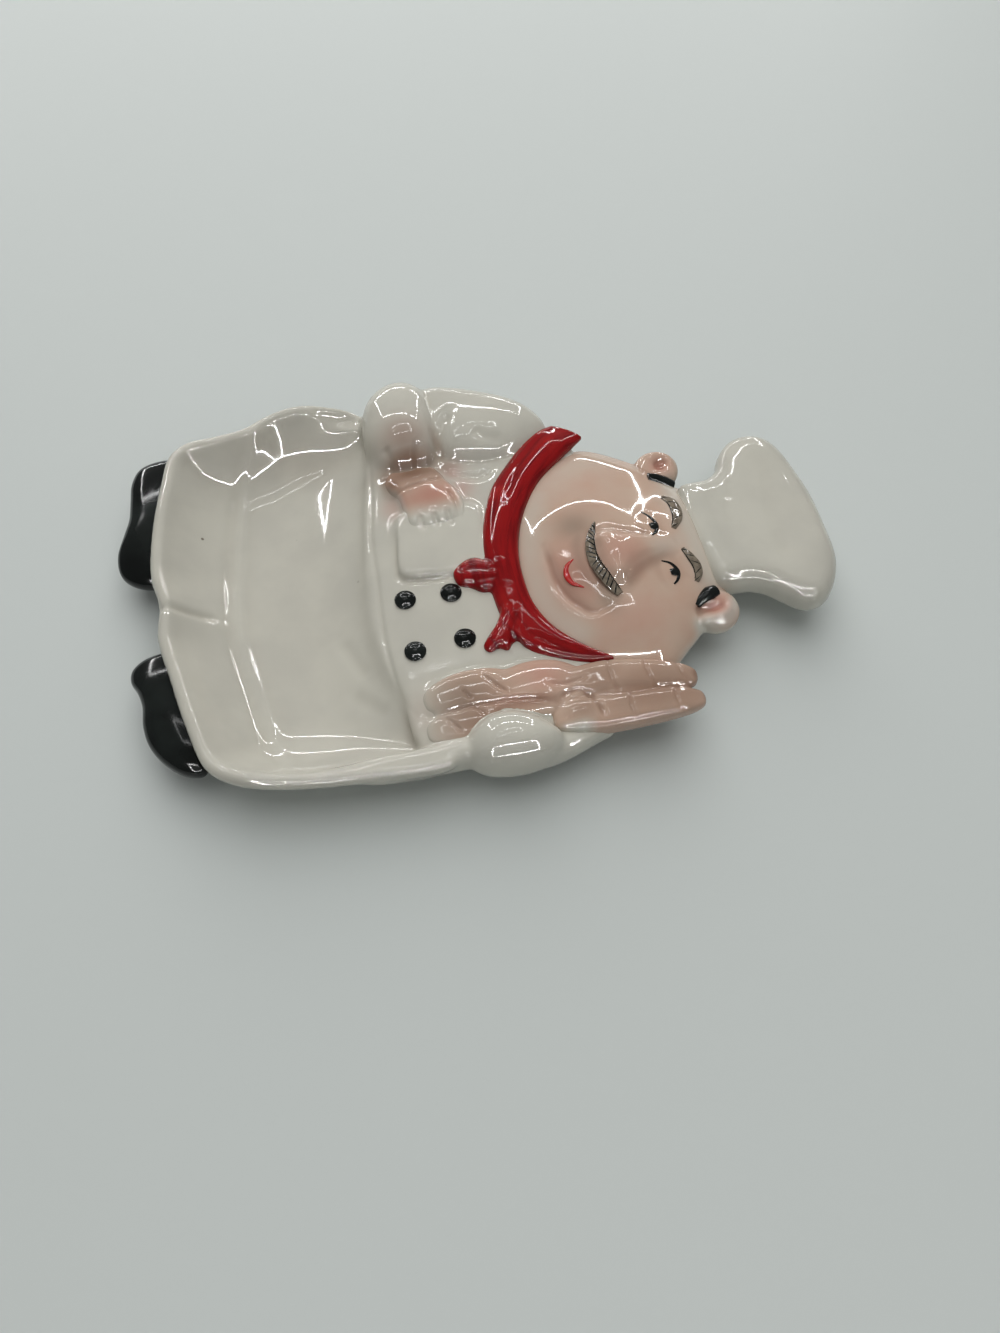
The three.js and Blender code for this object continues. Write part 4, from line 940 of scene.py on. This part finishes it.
hat = {
    "middle": (97, -7.5), "top": 23, "edge": 15.5, "underside": 10, "brow": 2.2, "round": 9.0,
    "outline": [
        (18, 0), (17.4, 14.4), (14.8, 25.8), (10.3, 33.2), (4.3, 35.9), (-1.6, 34.6), (-6.4, 30),
        (-9.6, 24.4), (-14, 21.3), (-20.6, 21), (-25, 19.4), (-27.2, 11), (-28, 0), (-27.2, -12),
        (-25, -21), (-20.6, -22.5), (-14, -23), (-9.4, -25.2), (-5, -29.6), (0.4, -34), (6.4, -33.9),
        (11.4, -29.6), (15.4, -21.8), (17.4, -10.6),
    ],
    "strokes": [  # dents
        ([(97, 21), (101, 18.6), (101.6, 10), (99, 0.6), (97, -8.1), (96, -14.4), (94.8, -24), (95.6, -31)],
         -0.45, 4.0),
        ([(88.5, 9), (87, 5), (85.5, 0)], -0.25, 1.6), ([(84, 1), (83, -4), (82.6, -9)], -0.2, 1.4),
        ([(80, 8), (80, -8), (80, -24)], -0.2, 3.4),
    ],
    "mounds": [((106, 20), (8, 9), 0, 1.2), ((108, -2), (7, 10), 0, 0.8), ((106, -24), (8, 9), 0, 0.9)],
}


def hatForm():
    outline = planOutline(hat)

    def swell(spots, height):
        share = nearest(closedRun(outline), spots)[0] / hat["round"]
        return hat["edge"] + (height - hat["edge"]) * bulge(share, 2.6)

    def over(spots):
        return swell(spots, hat["top"] + hat["brow"] * (1 - ease(spots[:, 0], 68, 80)))

    def under(spots):
        return swell(spots, hat["underside"])

    shares = edgeShares(30)
    levels = [(0, s, under) for s in shares[:0:-1]] + [(0, s, over) for s in shares]
    return loftForm(outline, hat["middle"], levels)


hatPiece = castForms("hat", [hatForm()], voxel=0.55, rounds=14)
modelRelief(hatPiece, hat["strokes"], hat["mounds"])
hollowLayer(hatPiece, depth=0.05)
setLayers(hatPiece, blush=0, shade=0)
place(hatPiece, whiteGlaze, "white_glaze", "hat_band", "hat_crown")

# Neckerchief: a band between two edges, a knot and two tails

kerchief = {
    "outer": [
        (38, 50), (32.2, 48), (25.5, 42.7), (17.3, 34.5), (11.2, 27.1), (5.9, 15.5), (2.6, 3.9),
        (1.6, -6), (1.4, -16), (2.6, -27), (7.2, -37), (12.2, -40.7), (19.7, -44.4), (26.7, -46.8),
        (32, -47.2),
    ],
    "inner": [
        (47.5, 41), (37.8, 34), (28.2, 26), (21.4, 17), (16.4, 7.6), (13.2, -3.6), (12.5, -15.2),
        (13.2, -22), (15.4, -28.6), (18.6, -34), (24.6, -40.6), (32, -46.8),
    ],
    "outerHeight": 18.4, "innerHeight": 19.8, "depth": 3.9, "neck": (56, -10), "neckReach": 47,
    "top": 22.6, "edge": 19.4, "underside": 15,  # of the tails
    "tails": [
        {"middle": (0, -7), "outline": [
            (9, 1), (3.2, 4.7), (-1.5, 7.3), (-5.7, 6.1), (-9, 3), (-8.4, -1.5), (-4.7, -3.6),
            (-1.1, -6.4), (3.2, -6.5), (9, -7),
        ]},
        {"middle": (3, -29), "outline": [
            (7, 11), (0.6, 12.5), (-0.8, 7), (-3.5, 2.5), (-7.4, -1.8), (-9, -4.4), (-7.4, -6.4),
            (-4.2, -5.6), (-1.8, -7.2), (0.2, -5), (2.4, -4.4), (3.8, -7.6), (6.5, -8), (9, 1),
        ]},
    ],
    "folds": [
        ([(-6.5, -4.6), (-2, -5.4), (4, -7.5)], -0.7, 1.2), ([(-3, -9.8), (1, -10), (5, -10.5)], -0.4, 1.0),
        ([(-3, -33), (0.8, -28.5), (4.6, -22)], -0.6, 1.2),
        ([(2.6, -34.4), (4.6, -29.5), (7, -24)], -0.5, 1.1),
        ([(6, -3), (5.4, -9), (5.6, -15)], 0.5, 2.2),
        ([(36, 45), (28, 38.5), (20, 29), (14, 18)], -0.35, 1.4),
        ([(9, -33), (16, -39), (25, -44)], -0.35, 1.2),
    ],
}


def kerchiefBand():
    steps = 121
    outer, inner = (curveThrough(kerchief[edge], steps) for edge in ("outer", "inner"))
    cosine, sine = circle(44).T
    mix, up = 0.5 + 0.5 * squared(cosine, 0.9), squared(sine, 0.75)
    rest = kerchief["innerHeight"] + (kerchief["outerHeight"] - kerchief["innerHeight"]) * mix
    rings = []
    for a, b, share in zip(outer, inner, np.linspace(0, 1, steps)):
        depth = kerchief["depth"] * (1 - 0.5 * share**4) * (0.55 + 0.45 * ease(share, 0, 0.08))
        rings.append(np.column_stack([b + (a - b) * mix[:, None], rest + depth * up]))
    return ringForm(rings)


kerchiefPiece = castForms("kerchief", [
    kerchiefBand(), *[cushion({**kerchief, **tail}, power=2.0) for tail in kerchief["tails"]],
], voxel=0.45, rounds=7)
modelRelief(kerchiefPiece, kerchief["folds"])
hollowLayer(kerchiefPiece, depth=0.012)
kerchiefPlan = getPoints(kerchiefPiece)[:, :2]
kerchiefMiddle = (curveThrough(kerchief["outer"], 60) + curveThrough(kerchief["inner"], 60)) / 2
across, along = nearest(kerchiefMiddle, kerchiefPlan)
fromNeck = np.linalg.norm(kerchiefPlan - kerchief["neck"], axis=1)
setLayers(kerchiefPiece, across=np.where(fromNeck > kerchief["neckReach"], across, -across), along=along)
place(
    kerchiefPiece, redGlaze, "red_glaze", "kerchief_band", "kerchief_knot", "kerchief_tail_right",
    "kerchief_tail_left",
)

# Hands

fistPiece = castForms("rightFist", [fistForm()], voxel=0.4, rounds=5)
modelRelief(fistPiece, fist["strokes"], fist["mounds"])
hollowLayer(fistPiece, depth=0.014)
fistPoints = getPoints(fistPiece)
fistInset = nearest(closedRun(planOutline(fist, 80)), fistPoints[:, :2])[0]
edgeFade = np.maximum(ease(fistInset, 0.4, 2.4), ease(fistPoints[:, 1], 34, 38))
setLayers(
    fistPiece, skin=ease(fistPoints[:, 1], 18.5, 26.5) * edgeFade, grey=0,
    blush=sprayLayer(fistPoints, fist["blush"]), shade=sprayLayer(fistPoints, fist["shade"]),
)
place(fistPiece, skinGlaze, "skin_glaze", "right_fist")

handPiece = castForms("leftHand", [
    palmForm(), *[fingerForm(*finger) for finger in hand["fingers"] + hand["fillers"]],
], voxel=0.45, rounds=7)
soften(handPiece, rounds=40, weight=moundReach(getPoints(handPiece), *hand["flat"]))
modelRelief(handPiece, hand["strokes"], hand["mounds"])
hollowLayer(handPiece, depth=0.014)
handPoints = getPoints(handPiece)
handX, handY, handZ = handPoints.T
overCoat = 1 - ease(handX, 6, 16)  # the tint fades where the hand lies on the coat
fade = ease(handX, -36, -12)
fade *= 1 - ease(-63.6 - handY, 0, 4) * ease(21 - handX, 0, 5)  # bare wrist
fade *= ease(handZ, 11 + 6.5 * overCoat, 16 + 4 * overCoat)
setLayers(
    handPiece, skin=fade, blush=sprayLayer(handPoints, hand["blush"]) * fade,
    shade=sprayLayer(handPoints, hand["shade"]) * (0.4 + 0.6 * fade),
    grey=sprayLayer(handPoints, hand["grey"]) * fade,
)
place(
    handPiece, skinGlaze, "skin_glaze", "left_palm", "left_finger_1", "left_finger_2",
    "left_hand_lobe_1", "left_hand_lobe_2",
)

# Shoes

shoes = {
    "right": {
        "node": "right_shoe", "middle": (-101.8, 45.2), "length": 25.6, "width": 52.3,
        "outline": [
            (0.38, -1.02), (0.69, -0.36), (0.92, 0.24), (1.08, 0.72), (0.77, 0.96), (0.31, 1),
            (-0.19, 0.92), (-0.46, 0.68), (-0.54, 0.36), (-0.62, 0.04), (-0.81, -0.24), (-0.98, -0.52),
            (-0.92, -0.78), (-0.62, -0.94), (-0.15, -1.03),
        ],
    },
    "left": {
        "node": "left_shoe", "middle": (-102, -30), "length": 22, "width": 44,
        "outline": [
            (0.68, -1), (0.95, -0.68), (0.77, -0.09), (0.5, 0.55), (0.27, 0.98), (-0.18, 1),
            (-0.64, 0.94), (-0.95, 0.8), (-1, 0.61), (-0.85, 0.43), (-0.75, 0.2), (-0.77, -0.14),
            (-0.64, -0.45), (-0.27, -0.75), (0.23, -0.96),
        ],
    },
}
shoeDepth = {"top": 18.5, "edge": 12.9, "underside": 6}

for side, shoe in shoes.items():
    shoeForm = cushion({**shoe, **shoeDepth}, power=2.6, count=140)
    shoePiece = castForms(side + "Shoe", [shoeForm], voxel=0.5, rounds=4)
    place(shoePiece, blackGlaze, "black_glaze", shoe["node"])

print("stage forms")

# Brush strokes on the face, swept along their paths

def newTree(name, **inputs):
    tree = bpy.data.node_groups.new(name, "GeometryNodeTree")
    for label, kind in {"Geometry": "Geometry", **inputs}.items():
        tree.interface.new_socket(label, in_out="INPUT", socket_type="NodeSocket" + kind)
    tree.interface.new_socket("Geometry", in_out="OUTPUT", socket_type="NodeSocketGeometry")
    source = tree.nodes.new("NodeGroupInput")
    return tree, {socket.name: Wire(tree, socket) for socket in source.outputs if socket.name}


def endTree(tree, shape, material):
    whole = shape.make("GeometryNodeRealizeInstances", {0: shape})
    glazed = whole.make("GeometryNodeSetMaterial", {"Geometry": whole, "Material": material})
    tree.links.new(glazed.socket, tree.nodes.new("NodeGroupOutput").inputs[0])


def strokeTree():
    tree, given = newTree("brushStroke", Breadth="Float", Relief="Float", Glaze="Material")
    path = given["Geometry"].make("GeometryNodeSetCurveNormal", {"Curve": given["Geometry"]}, mode="Z_UP")
    ring = path.make("GeometryNodeCurvePrimitiveCircle", {"Resolution": 12, "Radius": 1.0})
    size = path.make("ShaderNodeCombineXYZ", {"X": given["Breadth"], "Y": given["Relief"], "Z": 1.0})
    ring = ring.make("GeometryNodeTransform", {"Geometry": ring, "Scale": size})
    radius = path.make("GeometryNodeInputRadius", {})
    swept = path.make("GeometryNodeCurveToMesh", {
        "Curve": path, "Profile Curve": ring, "Scale": radius, "Fill Caps": True,
    })
    endTree(tree, swept, given["Glaze"])
    return tree


def addTree(piece, tree, **values):
    modifier = piece.modifiers.new(tree.name, "NODES")
    modifier.node_group = tree
    for item in tree.interface.items_tree:
        if item.item_type == "SOCKET" and item.in_out == "INPUT" and item.name in values:
            modifier[item.identifier] = values[item.name]


def surfaceOf(piece):
    bpy.context.view_layer.update()
    return BVHTree.FromObject(piece, bpy.context.evaluated_depsgraph_get())


overAll = 60.0  # a height above every piece


# Where a place in plan lies on the highest of some surfaces
def dropOn(surfaces, x, y):
    above = Vector(toFrame((x, y, overAll)))
    hits = [surface.ray_cast(above, Vector((0, 0, -1)))[0] for surface in surfaces]
    return max((hit for hit in hits if hit), key=lambda hit: hit.z)


def spread(widths, count):
    return np.interp(np.linspace(0, 1, count), np.linspace(0, 1, len(widths)), widths)


# Each stroke is a route in plan with the half width along it, in millimetres
def brushStrokes(name, strokes, material, relief, lift=0.0):
    curve = bpy.data.curves.new(name, "CURVE")
    curve.dimensions = "3D"
    for route, widths in strokes:
        count = max(8, 6 * len(route))
        spline = curve.splines.new("POLY")
        spline.points.add(count - 1)
        for point, (x, y), half in zip(spline.points, curveThrough(route, count), spread(widths, count)):
            point.co = (*(dropOn(faceSurfaces, x, y) + Vector((0, 0, lift * mm))), 1)
            point.radius = half
    drawn = addObject(name + "Paths", curve)
    addTree(drawn, brushTree, Breadth=mm, Relief=relief * mm, Glaze=material)
    mesh = bakedMesh(drawn)
    bpy.data.objects.remove(drawn)
    bpy.data.curves.remove(curve)
    mesh.name = name
    return addObject(name, mesh)


lid, pupil = [0.28, 0.52, 0.74, 0.66, 0.36], [1.1, 1.6, 1.3]  # half widths
face = {
    "noseSide": 1,  # which edge of the moustache is drawn dark
    "lids": [
        ([(55, 0.9), (57, -1.7), (58.2, -5.6), (57, -8.2), (55.1, -9.9)], lid),
        ([(55.4, -19.1), (58.1, -20.4), (59.6, -23.5), (58.4, -26.3), (56.9, -27.5)], lid),
    ],
    "pupils": [
        ([(55.8, -5.9), (57, -5.8), (58.2, -5.7)], pupil),
        ([(57, -23.5), (58.2, -23.4), (59.4, -23.3)], pupil),
    ],
    "moustache": [
        ([(38.8, -0.4), (36.8, -4), (35.2, -8.4), (34.5, -13), (34.9, -17.6), (36, -21.6), (37.4, -25.2),
          (38.8, -28.2)], [0.3, 1.2, 1.75, 2.0, 2.15, 2.2, 2.0, 1.2]),
    ],
    "brows": [
        ([(64.2, 6.4), (66.3, 3.2), (66.6, -1), (65.6, -4.6), (63.2, -8)], [0.9, 1.7, 1.9, 1.6, 0.8]),
        ([(63.6, -15.8), (65, -19), (66.2, -22.4), (66, -25.2), (64.6, -27.6)], [0.7, 1.3, 1.6, 1.4, 0.8]),
    ],
    "sideburns": [
        ([(63.4, 17.6), (66, 17), (69, 16), (72, 14.6)], [1.5, 2.1, 2.2, 2.0]),
        ([(62.6, -35), (64.6, -33.4), (67.4, -31.8), (70.4, -30.8)], [1.0, 1.8, 2.5, 2.0]),
    ],
    "smile": [
        ([(28.4, -12.2), (26, -14), (25.1, -16.6), (25.8, -20.1), (28.8, -23)], [0.2, 0.85, 1.3, 0.95, 0.2]),
    ],
}


def hairStrokes(route, widths, count, slant, reach, weight):
    steps = 200
    run = curveThrough(route, steps)
    way = directions(run)
    side, half = leftOf(way), spread(widths, steps) * reach
    strokes = []
    for i, k in enumerate(np.linspace(14, 185, count).astype(int)):
        lean = slant * (1 if k < steps / 2 else -1) * (0.8 + 0.4 * ((i * 7) % 5) / 4)
        foot, tip = (run[k] + sign * (side[k] * half[k] + way[k] * lean) for sign in (-1, 1))
        strokes.append(([foot, (foot + tip) / 2, tip], [weight * 0.5, weight, weight * 0.4]))
    return strokes


def edgeStroke(route, widths, side, reach, weight):
    run = curveThrough(route, 40)
    edge = run + side * reach * spread(widths, len(run))[:, None] * leftOf(directions(run))
    return (edge[1:-1:4], [weight * 0.5, weight, weight, weight * 0.7])


brushTree = strokeTree()
faceSurfaces = [surfaceOf(headPiece)]
sideburns = brushStrokes("sideburns", face["sideburns"], blackGlaze, relief=0.6, lift=0.35)
place(sideburns, blackGlaze, "black_glaze", "right_sideburn", "left_sideburn")
eyeLines = brushStrokes("eyeLines", face["lids"] + face["pupils"], blackGlaze, relief=0.24)
place(eyeLines, blackGlaze, "black_glaze")
smile = brushStrokes("smile", face["smile"], lipGlaze, relief=0.25)
place(smile, lipGlaze, "red_glaze")
moustache = brushStrokes("moustache", face["moustache"], greyGlaze, relief=0.36, lift=0.45)
brows = brushStrokes("brows", face["brows"], greyGlaze, relief=0.4)
place(moustache, greyGlaze, "grey_glaze", "moustache_right", "moustache_left")
place(brows, greyGlaze, "grey_glaze", "right_brow", "left_brow")
faceSurfaces += [surfaceOf(moustache), surfaceOf(brows)]
hairs = hairStrokes(*face["moustache"][0], count=15, slant=1.1, reach=0.8, weight=0.3)
hairs.append(edgeStroke(*face["moustache"][0], face["noseSide"], reach=0.66, weight=0.34))
for brow in face["brows"]:
    hairs += hairStrokes(*brow, count=5, slant=1.0, reach=0.7, weight=0.2)
    hairs.append(edgeStroke(*brow, -face["noseSide"], reach=0.86, weight=0.3))
hairLines = brushStrokes("hairLines", hairs, blackGlaze, relief=0.12)
place(hairLines, blackGlaze, "black_glaze")

# Coat buttons, domes with a turned edge set on the chest

button = {
    "places": [(-25.7, -9.6), (-11.1, -10.8), (-26.4, -28.9), (-10.6, -28.4)],
    "profile": [(0.06, 2.0), (1.2, 1.85), (2.2, 1.4), (2.75, 0.95), (2.95, 0.8), (3.2, 0.85), (3.4, 0.6),
                (3.35, 0.1), (3.1, -0.9)],
}


def buttonTree():
    tree, given = newTree("buttonSet", Button="Object", Glaze="Material")
    dome = given["Button"].make("GeometryNodeObjectInfo", {"Object": given["Button"]}, "Geometry")
    domes = dome.make("GeometryNodeInstanceOnPoints", {"Points": given["Geometry"], "Instance": dome})
    endTree(tree, domes, given["Glaze"])
    return tree


def buttonDome():
    ring = circle(40)
    points, faces = ringForm([
        np.column_stack([ring * radius, np.full(len(ring), height)])
        for radius, height in button["profile"][::-1]
    ])
    return meshObject("buttonDome", points - shift, faces)


coatSurface = surfaceOf(body)
seats = [np.array(dropOn([coatSurface], x, y)) / mm - shift for x, y in button["places"]]
dome = buttonDome()
buttons = meshObject("coatButtons", seats, [])
addTree(buttons, buttonTree(), Button=dome, Glaze=blackGlaze)
plainMesh(buttons)
bpy.data.objects.remove(dome)
place(buttons, blackGlaze, "black_glaze", *["coat_button_" + str(i) for i in (1, 2, 3, 4)])
print("stage face and buttons")

# Camera, light and floor

view = {"eye": (-39.3, -188.0, 281.8), "target": (-3.0, -42.5, 22.0), "lens": 27.0, "sensor": 36.0}
cameraData = bpy.data.cameras.new("camera")
cameraData.lens = view["lens"]
cameraData.sensor_width = view["sensor"]
cameraData.clip_start = 0.01
camera = addObject("camera", cameraData)
camera.location = toFrame(view["eye"])
aim = Vector(toFrame(view["target"])) - camera.location
camera.rotation_euler = aim.to_track_quat("-Z", "Y").to_euler()
bpy.context.scene.camera = camera

# Soft lamps light the object unseen, and the panels' glowing edges show in the gloss alone
softLamps = [  # name, place, size, watts
    ("softFill", (0.06, 0.32, 1.42), 1.7, 15.6),
    ("farFill", (0.113, 1.073, 0.526), 1.0, 5.9),
]
panels = [  # name, bearing and rise in degrees, distance, width, height, watts, edge's glow and width
    ("farPanel", 84, 26, 1.2, 1.24, 0.8, 0.3, 55.0, 0.01),
    ("nearPanel", -92, 42, 1.0, 1.1, 0.8, 1.2, 150.0, 0.01),
    ("highPanel", 92, 70, 1.2, 0.6, 0.26, 0.05, 18.0, 0.008),
]


def addLamp(name, spot, width, height, watts, turn):
    data = bpy.data.lights.new(name, "AREA")
    data.shape = "RECTANGLE"
    data.size, data.size_y, data.energy = width, height, watts
    lamp = addObject(name, data)
    lamp.location = spot
    lamp.rotation_euler = turn.to_euler()
    return lamp


def facing(spot):
    return (-Vector(spot)).to_track_quat("-Z", "Y")


for name, spot, size, watts in softLamps:
    addLamp(name, spot, size, size, watts, facing(spot)).visible_glossy = False
for name, bearing, rise, distance, width, height, watts, glow, bar in panels:
    (east, north), (level, up) = cosSin(bearing), cosSin(rise)
    spot = distance * Vector((level * east, level * north, up))
    turn = facing(spot)
    addLamp(name, spot, width, height, watts, turn)
    for i, (x, y) in enumerate(((0, 1), (0, -1), (1, 0), (-1, 0))):
        edge = spot + turn @ Vector((x * width / 2, y * height / 2, 0.01))
        size = (width, bar) if y else (bar, height)
        bright = addLamp(name + "Edge" + str(i), edge, *size, glow * 4 * size[0] * size[1], turn)
        bright.visible_diffuse = False

world = bpy.data.worlds.new("studio")
world.use_nodes = True
sky = world.node_tree.nodes["Background"].inputs
sky["Color"].default_value = (0.93, 0.97, 0.96, 1)
sky["Strength"].default_value = 0.14
bpy.context.scene.world = world

floorReach = 3.0 / mm
floorCorners = np.array([(-1, -1, 0), (1, -1, 0), (1, 1, 0), (-1, 1, 0)]) * floorReach
floor = meshObject("floor", floorCorners, [(0, 1, 2, 3)])
floorPaint = bpy.data.materials.new("floorPaint")
floorPaint.use_nodes = True
floorLook = floorPaint.node_tree.nodes["Principled BSDF"].inputs
floorLook["Base Color"].default_value = paint(200, 205, 202)
floorLook["Roughness"].default_value = 0.55
floorLook["Specular IOR Level"].default_value = 0.15
floor.data.materials.append(floorPaint)

bpy.context.scene.view_settings.view_transform = "Standard"
